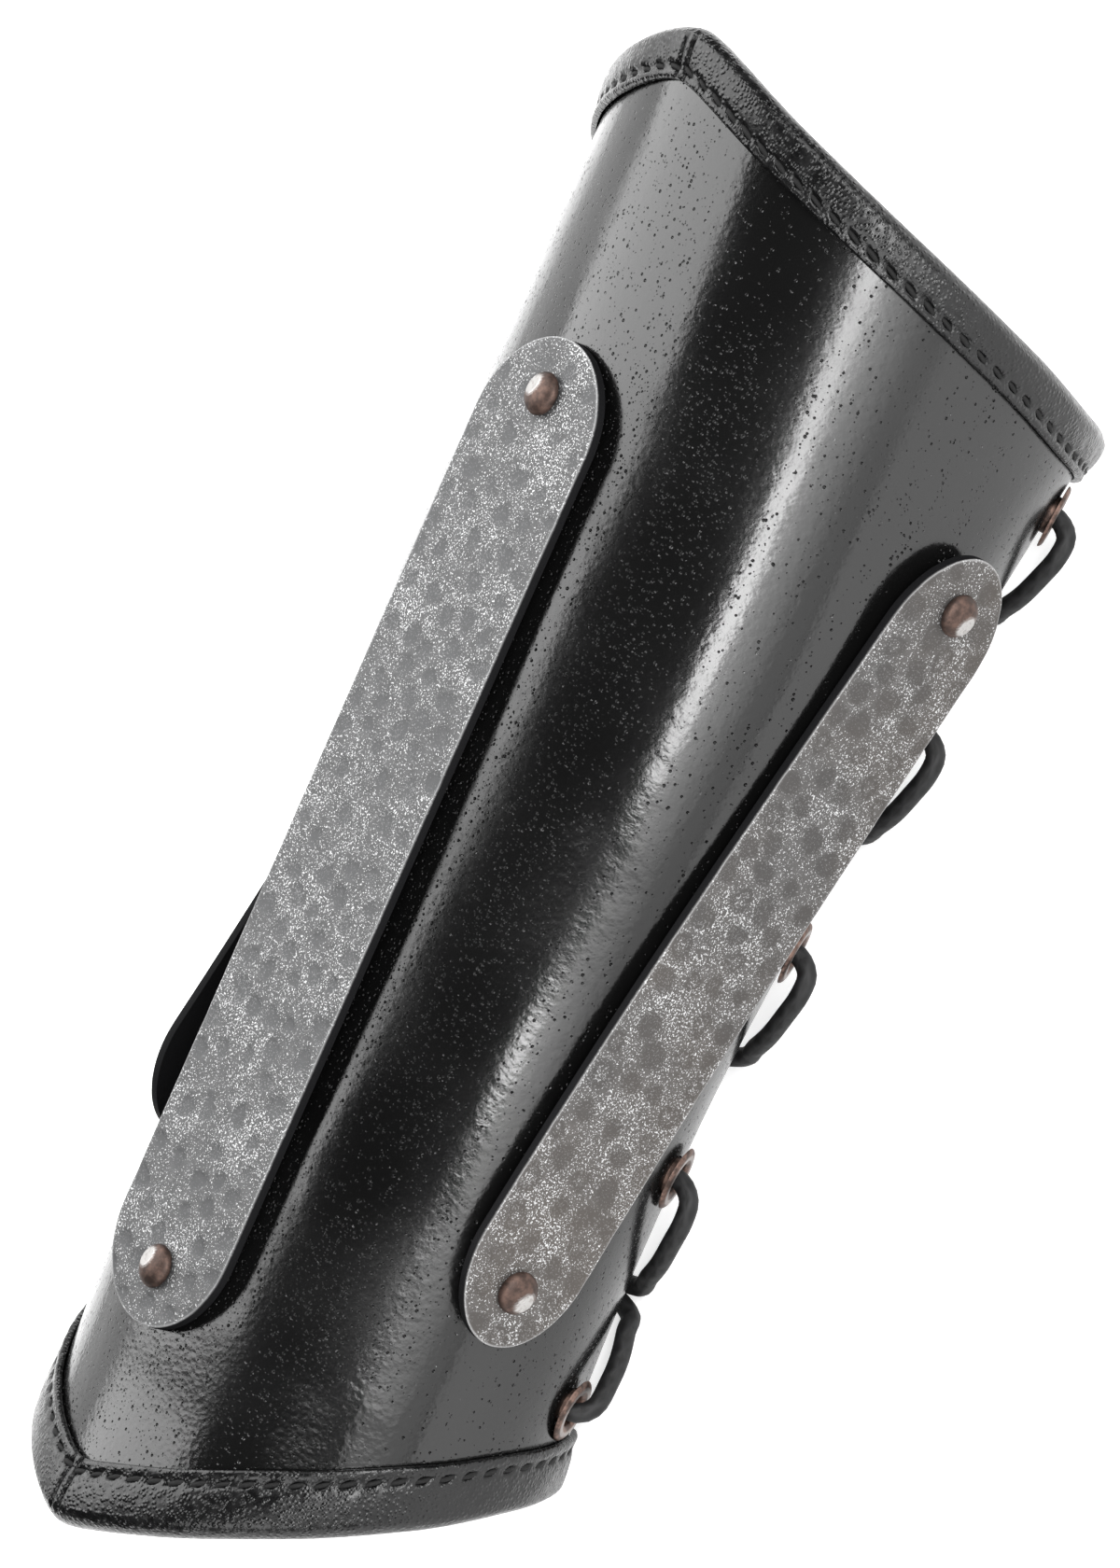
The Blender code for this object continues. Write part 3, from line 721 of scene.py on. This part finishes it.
def makeBody():
    rows, columns, soft = bodySizes["rows"], bodySizes["columns"], bodySizes["edgeRound"]
    inset = form["gap"] + form["binding"]
    turns = [math.radians(90.0 * k / bodySizes["edgeSteps"]) for k in range(bodySizes["edgeSteps"])]
    corner = [(soft * (1.0 - math.cos(t)), -soft * (1.0 - math.sin(t))) for t in turns]

    def station(share, r):
        start = rimY("wrist", share) + inset * rimStretch("wrist", share)
        end = rimY("elbow", share) - inset * rimStretch("elbow", share)
        return start + (end - start) * r / rows

    levels = np.arange(rows + 1)

    def edge(side, inward):
        return [fromEdge(side, back, station(side, levels), -form["leather"] - out if inward else out)
                for back, out in corner]

    left, right, leftIn, rightIn = edge(-1, False), edge(1, False), edge(-1, True), edge(1, True)
    outer, inner = [], []
    for c in range(columns + 1):
        share = 2.0 * c / columns - 1.0
        y = station(share, levels)
        wide, high = axes(y)
        narrowed = cover(y) - soft / (0.5 * (wide + high))
        phi = share * narrowed + roundAt(share, y) - share * cover(y)
        outside = surface(phi, y)
        fade = np.clip((1.0 - abs(share)) * 12.0, 0.0, 1.0)
        nx, nz = facing(phi, y)
        raised = swell(outside) * fade
        outer.append(outside + np.stack([raised * nx, 0.0 * nx, raised * nz], -1))
        inner.append(surface(phi, y, -form["leather"]))
    loop = left + outer + right[::-1] + rightIn + inner[::-1] + leftIn[::-1]
    glossy, fleshy, cut = 0, 1, 2                              # places in the list of materials
    kinds = ([cut] * len(left) + [glossy] * columns + [cut] * (len(right) + 1) + [cut] * len(rightIn)
             + [fleshy] * columns + [cut] * (len(leftIn) + 1))
    verts = np.stack(loop, 1).reshape(-1, 3)                   # row by row round the loop
    around = len(loop)
    faces = ringFaces(rows + 1, around)
    faceMats = kinds[:around] * rows
    for r in (0, rows):                                        # the rims, hidden in the bindings
        for c in range(around // 2 - 1):
            a, b = r * around + c, r * around + around - 1 - c
            faces.append((a, b, b - 1, a + 1) if r == 0 else (a, a + 1, b - 1, b))
            faceMats.append(cut)
    return makeMesh("leather", verts, faces, [gloss, flesh, burnish], 50.0, faceMats)


def eyeletPlace(side, row):
    y = eyeletY(row)
    point = fromEdge(side, laceSizes["eyeletBack"], y)
    return standing(point, point - fromEdge(side, laceSizes["eyeletBack"], y, -1.0))


leather = makeBody()
print("leather body", len(leather.data.polygons), "faces")

# bindings folded over the rims
bindingSizes = {"elbowWidth": 7.6, "wristWidth": 9.2, "inside": 8.0, "fold": 2.0, "rings": 760,
                "stitchLine": 0.79, "slotWidth": 0.55, "slotLean": 0.8, "groove": 0.62, "puff": 0.30,
                "uneven": 0.22, "pucker": 0.05, "puckerWidth": 2.0, "pitch": 3.4, "mitre": 0.5,
                "seams": (-0.7, 1.1), "seamWidth": 0.30, "tip": 0.02, "endPress": 0.20}


def bindingLevels(end):                 # stitch line from the rim, and the faces outside and inside
    thick = form["gap"] + form["binding"]
    return bindingSizes["stitchLine"] * bindingSizes[end + "Width"], thick, -form["leather"] - thick


def bindingSection(end):                # points of (across from the rim, off the leather)
    _, top, under = bindingLevels(end)
    wide, inside, fold = bindingSizes[end + "Width"], bindingSizes["inside"], bindingSizes["fold"]
    section = [(wide - 0.05, form["gap"]), (wide, 0.55), (wide - 0.02, top - 0.30),
               (wide - 0.25, top - 0.06)]
    for step in range(27):                                     # the outside, from the cut edge to the fold
        section.append((wide - 0.5 - (wide - 0.5 - fold) * step / 26.0, top))
    for step in range(1, 12):                                  # round the fold
        turn = math.pi * step / 12.0
        section.append((fold - fold * math.sin(turn),
                        0.5 * (top + under) + 0.5 * (top - under) * math.cos(turn)))
    for step in range(13):
        section.append((fold + (inside - fold - 0.3) * step / 12.0, under))
    return section + [(inside, under + 0.3), (inside, under + form["binding"]),
                      (form["binding"] + 0.4, under + 1.0), (form["binding"], -0.5 * form["leather"]),
                      (form["binding"] + 0.4, form["gap"])]


def rimPaths(end):                      # shares round the rim, with the length round at the stitch line
    shares = np.linspace(-1.0, 1.0, bindingSizes["rings"] + 1)
    sign = -1.0 if end == "elbow" else 1.0
    sewn = bindingLevels(end)[0]
    y = rimY(end, shares) + sign * sewn * rimStretch(end, shares)
    line = surface(roundAt(shares, y), y)
    steps = np.linalg.norm(np.diff(line, axis=0), axis=1)
    length = np.concatenate([[0.0], np.cumsum(steps)])
    return shares, length - np.interp(0.0, shares, length)


def bindingPoint(end, share, across, out):
    sign = -1.0 if end == "elbow" else 1.0
    tip = np.hypot(share, bindingSizes["tip"])                 # the tip is a little rounded
    y = rimY(end, tip) + sign * across * rimStretch(end, share)
    point = surface(roundAt(share, y), y, out)
    point[..., 2] = np.maximum(point[..., 2], 0.0)             # pressed flat where it stands
    return point


def makeBinding(end):
    sizes, section = bindingSizes, bindingSection(end)
    sewn, top, under = bindingLevels(end)
    shares, length = rimPaths(end)
    middle = 0.5 * (top + under)
    pressed = sizes["endPress"] * (1.0 - np.clip((1.0 - np.abs(shares)) * 60.0, 0.0, 1.0) ** 0.5)
    tip = sum(np.exp(-((length - at) / sizes["seamWidth"]) ** 2) for at in sizes["seams"])    # mitre seams
    rings, slots = [], []
    for across, out in section:
        near = math.exp(-((across - sewn) / sizes["slotWidth"]) ** 2)
        shift = length - sizes["slotLean"] * (across - sewn)   # slots lean along the seam
        beat = np.cos(2.0 * math.pi * shift / sizes["pitch"])  # -1 in the middle of a stitch
        slot = np.clip(0.45 - 1.1 * beat, 0.0, 1.0)
        puffed = math.sin(math.pi * min(1.0, max(0.0, (across - 0.2) / (sewn - 0.2))))
        face = 1.0 if out >= top - 0.1 else (-0.35 if out <= under + 0.1 else 0.0)     # less shows inside
        wander = np.array([noise.noise(Vector((s / 9.0, across / 5.0, 3.0 if end == "elbow" else 8.0)))
                           for s in length])
        slots.append((near * slot + 0.5 * tip) * (face > 0.0))
        change = (puffed * (sizes["puff"] + sizes["uneven"] * wander)
                  - sizes["groove"] * near * (0.15 + 0.85 * slot)
                  - sizes["pucker"] * beat * math.exp(-((across - sewn) / sizes["puckerWidth"]) ** 2)
                  - sizes["mitre"] * tip * (1.0 if across > 1.5 else 0.4))
        height = middle + (out + face * change - middle) * (1.0 - pressed)
        drift = 0.10 * wander * (face > 0.0 and across > sewn)
        rings.append(bindingPoint(end, shares, across + drift, height))
    verts = np.stack(rings, 1).reshape(-1, 3)
    faces = tubeFaces(len(shares), len(section))
    marks = {"slot": np.stack(slots, 1).ravel().tolist()}
    piece = makeMesh(end + "Edging", verts, faces, [trim], 50.0, None, marks)
    print(end, "binding", len(faces), "faces")
    return dress(piece, "binding_leather", end + "_binding")


def stitchTree():                       # one thread bump at each point, along its own direction
    tree, keys, add, join = newTree("stitchRow", {"Points": "Geometry", "Stitch length": "Float",
                                                  "Thread radius": "Float", "Rise": "Float", "Seed": "Int",
                                                  "Thread": "Material"})
    given, made = add("NodeGroupInput"), add("NodeGroupOutput")

    def part(node, output, factor):
        share = add("ShaderNodeMath", operation="MULTIPLY")
        share.inputs[1].default_value = factor
        join(node, output, share, 0)
        return share

    half = part(given, "Stitch length", 0.5)
    back, sunk = part(half, 0, -1.0), part(given, "Rise", -0.75)
    start, crest, end = (add("ShaderNodeCombineXYZ") for _ in range(3))
    join(back, 0, start, "X")
    join(sunk, 0, start, "Z")
    join(given, "Rise", crest, "Z")
    join(half, 0, end, "X")
    join(sunk, 0, end, "Z")
    arc = add("GeometryNodeCurveQuadraticBezier")
    arc.inputs["Resolution"].default_value = 6
    join(start, 0, arc, "Start")
    join(crest, 0, arc, "Middle")
    join(end, 0, arc, "End")
    ring = add("GeometryNodeCurvePrimitiveCircle")
    ring.inputs["Resolution"].default_value = 7
    join(given, "Thread radius", ring, "Radius")
    tube = add("GeometryNodeCurveToMesh")
    tube.inputs["Fill Caps"].default_value = True
    join(arc, 0, tube, "Curve")
    join(ring, 0, tube, "Profile Curve")
    ahead, above = (add("GeometryNodeInputNamedAttribute", data_type="FLOAT_VECTOR") for _ in range(2))
    ahead.inputs["Name"].default_value, above.inputs["Name"].default_value = "ahead", "above"
    first = add("FunctionNodeAlignRotationToVector", axis="X")
    join(ahead, "Attribute", first, "Vector")
    second = add("FunctionNodeAlignRotationToVector", axis="Z", pivot_axis="X")
    join(first, 0, second, "Rotation")
    join(above, "Attribute", second, "Vector")
    jitter = add("FunctionNodeRandomValue", data_type="FLOAT")
    floats = [socket for socket in jitter.inputs if socket.type == "VALUE"]
    floats[0].default_value, floats[1].default_value = 0.88, 1.10
    join(given, "Seed", jitter, "Seed")
    scale = add("ShaderNodeCombineXYZ")
    amount = next(socket for socket in jitter.outputs if socket.type == "VALUE")
    for axis in ("X", "Y", "Z"):
        tree.links.new(amount, scale.inputs[axis])
    place = add("GeometryNodeInstanceOnPoints")
    join(given, "Points", place, "Points")
    join(tube, 0, place, "Instance")
    join(second, 0, place, "Rotation")
    join(scale, 0, place, "Scale")
    real, paint = add("GeometryNodeRealizeInstances"), add("GeometryNodeSetMaterial")
    join(place, 0, real, 0)
    join(real, 0, paint, "Geometry")
    join(given, "Thread", paint, "Material")
    join(paint, 0, made, 0)
    return tree, keys


# length, thread and rise in metres, the rest in millimetres
stitches = {"length": 0.0027, "thread": 0.00040, "rise": 0.00050, "sink": 0.42, "skew": 0.16, "half": 0.8,
            "clear": 2.6, "insideSink": 0.1}
sewing, sewingKeys = stitchTree()


def sewBinding(end, seed):
    shares, length = rimPaths(end)
    pitch, half, skew = bindingSizes["pitch"], stitches["half"], stitches["skew"]
    sewn, top, under = bindingLevels(end)
    places = np.arange(math.ceil(length[0] / pitch), math.floor(length[-1] / pitch)) + 0.5
    points, ahead, above = [], [], []
    for height, way in ((top - stitches["sink"], 1.0), (under + stitches["insideSink"], -1.0)):
        for at in places * pitch:
            if min(at - length[0], length[-1] - at) < stitches["clear"]:
                continue
            before, share, after = np.interp([at - half, at, at + half], length, shares)
            low = bindingPoint(end, before, sewn - skew, height)
            high = bindingPoint(end, after, sewn + skew, height)
            middle = bindingPoint(end, share, sewn, height)
            lifted = bindingPoint(end, share, sewn, height + way)
            points.append(middle)
            ahead.append(high - low)
            above.append(lifted - middle)
    mesh = bpy.data.meshes.new(end + "Stitches")
    mesh.from_pydata((mm * np.array(points)).tolist(), [], [])
    for key, values in (("ahead", ahead), ("above", above)):
        mesh.attributes.new(key, "FLOAT_VECTOR", "POINT").data.foreach_set("vector", np.ravel(values))
    obj = addObject(end + "Stitches", mesh)
    growTree(obj, sewing, sewingKeys, {"Stitch length": stitches["length"], "Rise": stitches["rise"],
                                       "Thread radius": stitches["thread"], "Seed": seed, "Thread": thread})
    obj.data.shade_smooth()
    print(end, "stitches", len(points))
    return dress(obj, "black_cord")


for end, seed in (("elbow", 3), ("wrist", 7)):
    makeBinding(end)
    sewBinding(end, seed)

# hammered splints
splintSizes = {"thick": 1.5, "endReach": 8.2, "roundEnd": 13.6, "soft": 0.22, "spacing": 0.42,
               "hammerDepth": 0.08, "hammerSpacing": 3.6, "hammerSize": (1.15, 1.95), "hammerTries": 2600,
               "hammerStretch": 1.45, "hammerMargin": (1.5, 1.2), "rivetClear": 4.6, "lumpSize": 7.0,
               "lumps": 0.05, "edgeWearAndHighlightAt": 0.1, "edgeWearAndHighlightWidth": 0.14}
splints = {
    "centre": {"width": 26.4, "angles": (0.0, 0.0), "rivets": (39.1, 169.0), "facings": (0.0, 0.0),
               "bow": (0.0, 0.0), "side": 1, "seed": 11, "rings": 0.0, "warm": 0.0,
               "marks": 1.0},
    "right": {"width": 20.6, "angles": (74.3, 101.2), "rivets": (60.9, 169.7), "facings": (90.0, 97.5),
              "bow": (2.4, 0.8), "side": 1, "seed": 23, "rings": 0.35, "warm": 0.45,
              "marks": 1.2},
    "left": {"width": 20.6, "angles": (77.0, 105.0), "rivets": (60.9, 169.7), "facings": (90.0, 97.5),
             "bow": (2.4, 0.8), "side": -1, "seed": 31, "rings": 0.2, "warm": 0.4,
             "marks": 1.15}}


def gapUnder(point, normal):            # from a point back along normal to the round leather
    low, high = np.full(point.shape[0], -12.0), np.full(point.shape[0], 12.0)
    for _ in range(30):
        middle = 0.5 * (low + high)
        spot = point - middle[:, None] * normal
        y = spot[:, 1] + 0.5 * form["length"]
        wide, tall = axes(y)
        inside = ((spot[:, 0] - lean(y)) / wide) ** 2 + ((spot[:, 2] - tubeMiddle(y)) / tall) ** 2 < 1.0
        high, low = np.where(inside, middle, high), np.where(inside, low, middle)
    return 0.5 * (low + high)


def splintPath(made):                   # frames along a splint: centre, across and normal
    side = made["side"]
    ends = [Vector(surface(side * math.radians(a), y)) for a, y in zip(made["angles"], made["rivets"])]
    ahead = (ends[1] - ends[0]).normalized()
    between = (ends[1] - ends[0]).length
    reach = splintSizes["endReach"]
    length = between + 2.0 * reach
    start = ends[0] - reach * ahead

    def frameAt(at):
        first, last = made["facings"]
        turn = math.radians(first + (last - first) * (at - reach) / between)
        normal = Vector((side * math.sin(turn), 0.0, math.cos(turn)))
        normal = (normal - normal.dot(ahead) * ahead).normalized()
        share = 2.0 * at / length - 1.0
        centre = start + at * ahead + made["bow"][share > 0.0] * share**2 * normal
        return centre, side * normal.cross(ahead).normalized(), normal

    half = 0.5 * made["width"]
    rounding = splintSizes["roundEnd"]
    turns = [math.radians(90.0 * (k + 0.5) / 6) for k in range(6)]
    lead = [(rounding * (1.0 - math.cos(t)), half * math.sin(t)) for t in turns]
    body = [(rounding + (length - 2.0 * rounding) * k / 6, half) for k in range(1, 6)]
    stations = lead + body + [(length - at, size) for at, size in lead[::-1]]
    points, normals = [], []
    for at, size in stations:
        centre, across, normal = frameAt(at)
        for share in np.linspace(-1.0, 1.0, 9):
            points.append(centre + float(share * size) * across)
            normals.append(normal)
    lift = form["gap"] - float(gapUnder(np.array(points), np.array(normals)).min())
    raised = lift * frameAt(0.5 * length)[2]
    return lambda at: (frameAt(at)[0] + raised, *frameAt(at)[1:]), length


def hammerMarks(made, length):          # (along, across, long radius, short radius, turn, depth, ring)
    sizes, draw = splintSizes, random.Random(made["seed"])
    half, reach, marks = 0.5 * made["width"], sizes["endReach"], []
    short, thin = sizes["hammerMargin"]
    for _ in range(sizes["hammerTries"]):
        at, over = draw.uniform(short, length - short), draw.uniform(-half + thin, half - thin)
        size = made["marks"] * draw.uniform(*sizes["hammerSize"])
        stretch, turn = draw.uniform(1.0, sizes["hammerStretch"]), draw.uniform(0.0, math.pi)
        depth, ring = draw.uniform(0.6, 1.0) * sizes["hammerDepth"], draw.random() < made["rings"]
        toRivet = min(math.hypot(at - reach, over), math.hypot(length - reach - at, over))
        crowd = 0.5 + 0.5 * noise.noise(Vector((at / 14.0, over / 9.0, made["seed"])))
        apart = sizes["hammerSpacing"] * (0.82 + 0.75 * crowd)
        clear = toRivet >= sizes["rivetClear"]
        if clear and all(math.hypot(at - m[0], over - m[1]) >= apart for m in marks):
            marks.append((at, over, size * stretch ** 0.5, size / stretch ** 0.5, turn, depth, ring))
    return marks


def makeSplint(name, made):
    frameAt, length = splintPath(made)
    half, rounding, thick = 0.5 * made["width"], splintSizes["roundEnd"], splintSizes["thick"]
    soft, step = splintSizes["soft"], splintSizes["spacing"]
    ends = [rounding * (1.0 - math.cos(t)) for t in np.linspace(0.05, 0.5 * math.pi, 44)]
    straight = np.linspace(rounding, length - rounding, round((length - 2.0 * rounding) / step) + 1)
    at = np.concatenate([ends[:-1], straight, [length - e for e in ends[:-1]][::-1]])
    near = np.clip(np.minimum(at, length - at) / rounding, 0.0, 1.0)
    size = half * np.sqrt(1.0 - (1.0 - near) ** 2)
    edges = [0.0, 0.07, 0.15, 0.30]
    inner = np.linspace(-half + 0.6, half - 0.6, round((made["width"] - 1.2) / step))
    shares = np.concatenate([np.array(edges) - half, inner, half - np.array(edges[::-1])]) / half
    over = size[:, None] * shares[None, :]
    downward = at[:, None] + 0.0 * over
    nearEnd = np.clip(np.minimum(downward, length - downward) / rounding, 0.0, 1.0)
    inward = np.hypot(over / half, 1.0 - nearEnd)
    depthIn = np.where(nearEnd < 1.0, (1.0 - inward) * 0.5 * (half + rounding), half - np.abs(over))
    depthIn = np.maximum(depthIn, 0.0)
    bite = np.clip(soft - depthIn, 0.0, soft)
    height = thick - (soft - np.sqrt(soft**2 - bite**2))
    hollow = np.zeros_like(over)
    for a, b, long, short, turn, depth, ring in hammerMarks(made, length):
        rows = np.abs(at - a) < 1.6 * long
        da, db = downward[rows] - a, over[rows] - b
        u, v = math.cos(turn) * da + math.sin(turn) * db, math.cos(turn) * db - math.sin(turn) * da
        r = np.hypot(u / long, v / short)
        r = r * (1.0 + 0.09 * np.sin(3.0 * np.arctan2(v, u) + a))
        t = np.clip((1.12 - r) / 0.55, 0.0, 1.0)
        bowl = t * t * (3.0 - 2.0 * t)
        height[rows] -= depth * bowl
        shade = np.clip((1.12 - r) / 0.32, 0.0, 1.0)
        if ring:
            shade = shade * (1.0 - 0.75 * np.clip((0.62 - r) / 0.3, 0.0, 1.0))
        hollow[rows] = np.maximum(hollow[rows], shade * (0.65 + 0.35 * depth / splintSizes["hammerDepth"]))
    lump = splintSizes["lumpSize"]
    height += splintSizes["lumps"] * np.array([[noise.noise(Vector((d / lump, o / lump, made["seed"])))
                                                for d, o in zip(*pair)] for pair in zip(downward, over)])
    # the pale line just inside the top edges is part rubbing, part painted highlight
    worn = np.exp(-((depthIn - splintSizes["edgeWearAndHighlightAt"]) / splintSizes["edgeWearAndHighlightWidth"]) ** 2)
    verts, marks, wide = [], {"hollow": [], "edge": [], "wall": []}, len(shares)
    eased = np.where(np.isin(np.arange(wide), (0, wide - 1)), 0.2, 0.0)[:, None]      # the lower edges
    for k, spot in enumerate(at):
        centre, across, normal = (np.array(part) for part in frameAt(float(spot)))
        top = centre + over[k][:, None] * across + height[k][:, None] * normal
        under = centre + over[k][::-1][:, None] * across + eased * normal
        sides = [centre + over[k][end] * across + (height[k][end] - 0.12) * normal for end in (-1, 0)]
        verts += list(top) + [sides[0]] + list(under) + [sides[1]]
        marks["hollow"] += list(hollow[k]) + [0.0] * (wide + 2)
        marks["edge"] += list(worn[k]) + [0.0] * (wide + 2)
        # painted shade: the side walls and underside, and partly the top's outer rows, get the near-black
        # wall colour
        marks["wall"] += [0.9, 0.5] + [0.0] * (wide - 4) + [0.5, 0.9] + [1.0] * (wide + 2)
    faces = tubeFaces(len(at), 2 * wide + 2)
    marks["warm"] = [made["warm"]] * len(verts)
    piece = makeMesh(name + "Splint", verts, faces, [steel], 45.0, None, marks)
    seats = []
    for spot in (splintSizes["endReach"], length - splintSizes["endReach"]):
        centre, across, normal = frameAt(spot)
        seats.append(standing(centre, normal))
    print(name, "splint", len(faces), "faces")
    return piece, seats


# rivets and eyelets
rivetSizes = {"radius": 3.1, "shank": 1.55, "sides": 40, "rise": 1.85, "rim": 0.25, "foot": 0.9,
              "facetTilt": 16.0, "facetAt": 1.90, "facetFlat": 0.94}


def makeRivet(name, seat, glance, node):
    radius, shank, rise, rim = (rivetSizes[key] for key in ("radius", "shank", "rise", "rim"))
    normal = seat.to_3x3() @ Vector((0.0, 0.0, 1.0))
    around = np.array([seat @ (radius * Vector((math.cos(k), math.sin(k), 0.0))) for k in range(7)])
    reach = gapUnder(around, np.tile(np.array(normal), (7, 1))).max() + 1.12 * form["leather"] + 0.1
    top, foot = splintSizes["thick"] + form["gap"], -reach - form["gap"]
    dome = []
    for k in range(15):
        turn = math.radians(90.0 * k / 15.0)
        dome.append((radius * math.cos(turn) ** 0.9, top + rim + (rise - rim) * math.sin(turn)))
    low = foot - rivetSizes["foot"]
    profile = ([(0.0, low), (radius - 0.75, low), (radius - 0.5, low + 0.25),
                (radius - 0.45, foot - 0.2), (radius - 0.6, foot), (shank, foot), (shank, top),
                (radius - 0.12, top)] + dome + [(0.0, top + rise)])
    sideways = seat.inverted().to_3x3() @ Vector(glance)
    sideways = Vector((sideways.x, sideways.y, 0.0)).normalized()
    tilt = math.radians(rivetSizes["facetTilt"])
    facet = Vector((0.0, 0.0, math.cos(tilt))) + math.sin(tilt) * sideways
    through = facet.dot(Vector((0.0, 0.0, top + rivetSizes["facetAt"])))

    def flattened(point):               # the worn facet on the dome
        over = facet.dot(point) - through
        if point.z <= top or over <= -0.12:
            return point, 0.0
        if over > -0.06:
            point = point - (max(over, 0.0) * rivetSizes["facetFlat"]) * facet
        return point, 1.0 if over > -0.02 and point.z > top else 0.3

    piece = turned(name, profile, seat, rivetSizes["sides"], rivetCopper, 30.0, flattened)
    return dress(piece, "aged_copper", node)


eyeletSizes = {"radius": 4.7, "bore": 2.35, "wall": 0.45, "sides": 40, "crown": 0.60, "behind": 1.1,
               "rubbed": 0.5}


def makeEyelet(name, place, node):
    radius, bore, wall, crown = (eyeletSizes[key] for key in ("radius", "bore", "wall", "crown"))
    face, back = form["gap"] + 0.3, -form["leather"] - eyeletSizes["behind"]
    middle, half, foot = 0.5 * (radius + bore), 0.5 * (radius - bore), face + 0.05
    domed = [(middle + half * math.cos(t), foot + crown * math.sin(t))
             for t in np.linspace(0.0, math.pi, 15)]
    barrel = [(bore, face - 0.6), (bore, back - 0.2), (bore + 0.3, back - 0.55), (radius - 1.1, back - 0.55),
              (radius - 0.75, back - 0.3), (radius - 0.75, back), (bore + wall, back), (bore + wall, face),
              (radius - 0.15, face)]

    def wear(point):                    # the crown is rubbed bright
        return point, eyeletSizes["rubbed"] if point.z > foot + 0.96 * crown else 0.0

    piece = turned(name, domed + barrel, place, eyeletSizes["sides"], eyeletCopper, 35.0, wear)
    return dress(piece, "aged_copper", node)


holes = []
glances = {"centre": (-0.8, 0.5, 0.3), "right": (0.3, -0.6, -0.8), "left": (-0.3, -0.6, -0.8)}
for name, made in splints.items():
    piece, seats = makeSplint(name, made)
    bore = rivetSizes["shank"] + form["gap"]
    pierce(piece, [(seat, bore, -4.0, 4.0) for seat in seats])
    dress(piece, "hammered_steel", name + "_splint")
    for end, seat in zip(("wrist", "elbow"), seats):
        holes.append((seat, bore, -9.0, 4.0))
        makeRivet(name + "Rivet" + end.capitalize(), seat, glances[name], name + "_rivet_" + end)
for side, word in ((1, "right"), (-1, "left")):
    for row in range(laceSizes["eyeletRows"]):
        place = eyeletPlace(side, row)
        label = word + "_" + str(row + 1)
        holes.append((place, eyeletSizes["bore"] + eyeletSizes["wall"] + form["gap"], -5.0, 5.0))
        makeEyelet(word + "Eyelet" + str(row + 1), place, "eyelet_" + label)
pierce(leather, holes, 50.0)
dress(leather, "black_leather", "leather_shell")
print("hardware ready")


# floor and lights
studio = {"floor": 0.70, "floorSpan": 4000.0, "glow": 0.60, "surround": 0.04, "sun": 1.8, "sunSpread": 40.0}
# place, what it faces, width and length, brightness
softBoxes = {
    "leftBox": ((-0.66, 0.22, 1.00), (0.0, 0.05, 0.04), (1.27, 1.5), 5.9),
    "leftLow": ((-1.28, 0.15, 0.36), (0.0, 0.0, 0.04), (0.62, 1.5), 1.7),
    "rightStrip": ((1.00, 0.22, 0.77), (0.0, 0.1, 0.04), (0.18, 0.95), 20.0),
    "rightSoft": ((1.055, 0.22, 0.61), (0.0, 0.1, 0.04), (0.15, 1.1), 1.5),
    "rightFade": ((1.09, 0.22, 0.55), (0.0, 0.1, 0.04), (0.30, 1.1), 1.3),
    "rightDim": ((1.11, 0.22, 0.49), (0.0, 0.1, 0.04), (0.43, 1.1), 1.1),
    "rightLow": ((1.155, 0.15, 0.37), (0.0, 0.1, 0.04), (0.69, 1.4), 1.8)}
suns = {"wristSun": (0.60, -0.75, 0.66), "elbowSun": (0.60, 0.75, 0.66)}


def addLight(name, kind, place, target):
    light = bpy.data.lights.new(name, kind)
    holder = addObject(name, light)
    back = (Vector(place) - Vector(target)).normalized()
    side = Vector((0.0, 1.0, 0.0)).cross(back).normalized()
    holder.matrix_world = (Matrix.Translation(Vector(place))
                           @ Matrix((side, back.cross(side), back)).transposed().to_4x4())
    return light


def makeStudio():
    mat, tree, shader = startMaterial("paleFloor")
    wire(tree, shader, {"Base Color": (studio["floor"],) * 3 + (1.0,), "Roughness": 0.9,
                        "Specular IOR Level": 0.1, "Emission Color": (1.0, 1.0, 1.0, 1.0),
                        "Emission Strength": studio["glow"]})              # a table lit from below
    span = studio["floorSpan"]
    corners = [(x * span, y * span, -0.02) for x, y in ((-1, -1), (1, -1), (1, 1), (-1, 1))]
    floor = makeMesh("floor", corners, [(0, 1, 2, 3)], [mat])
    world = bpy.data.worlds.new("surround")
    bpy.context.scene.world = world
    world.use_nodes = True
    wire(world.node_tree, world.node_tree.nodes["Background"],
         {"Color": (1.0, 1.0, 1.0, 1.0), "Strength": studio["surround"]})
    for name, (place, target, size, brightness) in softBoxes.items():
        box = addLight(name, "AREA", place, target)
        box.shape = "RECTANGLE"
        box.size, box.size_y = size
        box.energy = brightness * math.pi * size[0] * size[1]
    for name, place in suns.items():
        sun = addLight(name, "SUN", place, (0.0, 0.0, 0.0))
        sun.energy, sun.angle = studio["sun"], math.radians(studio["sunSpread"])
    bpy.context.scene.view_settings.view_transform = "Standard"


makeStudio()
print("studio ready")
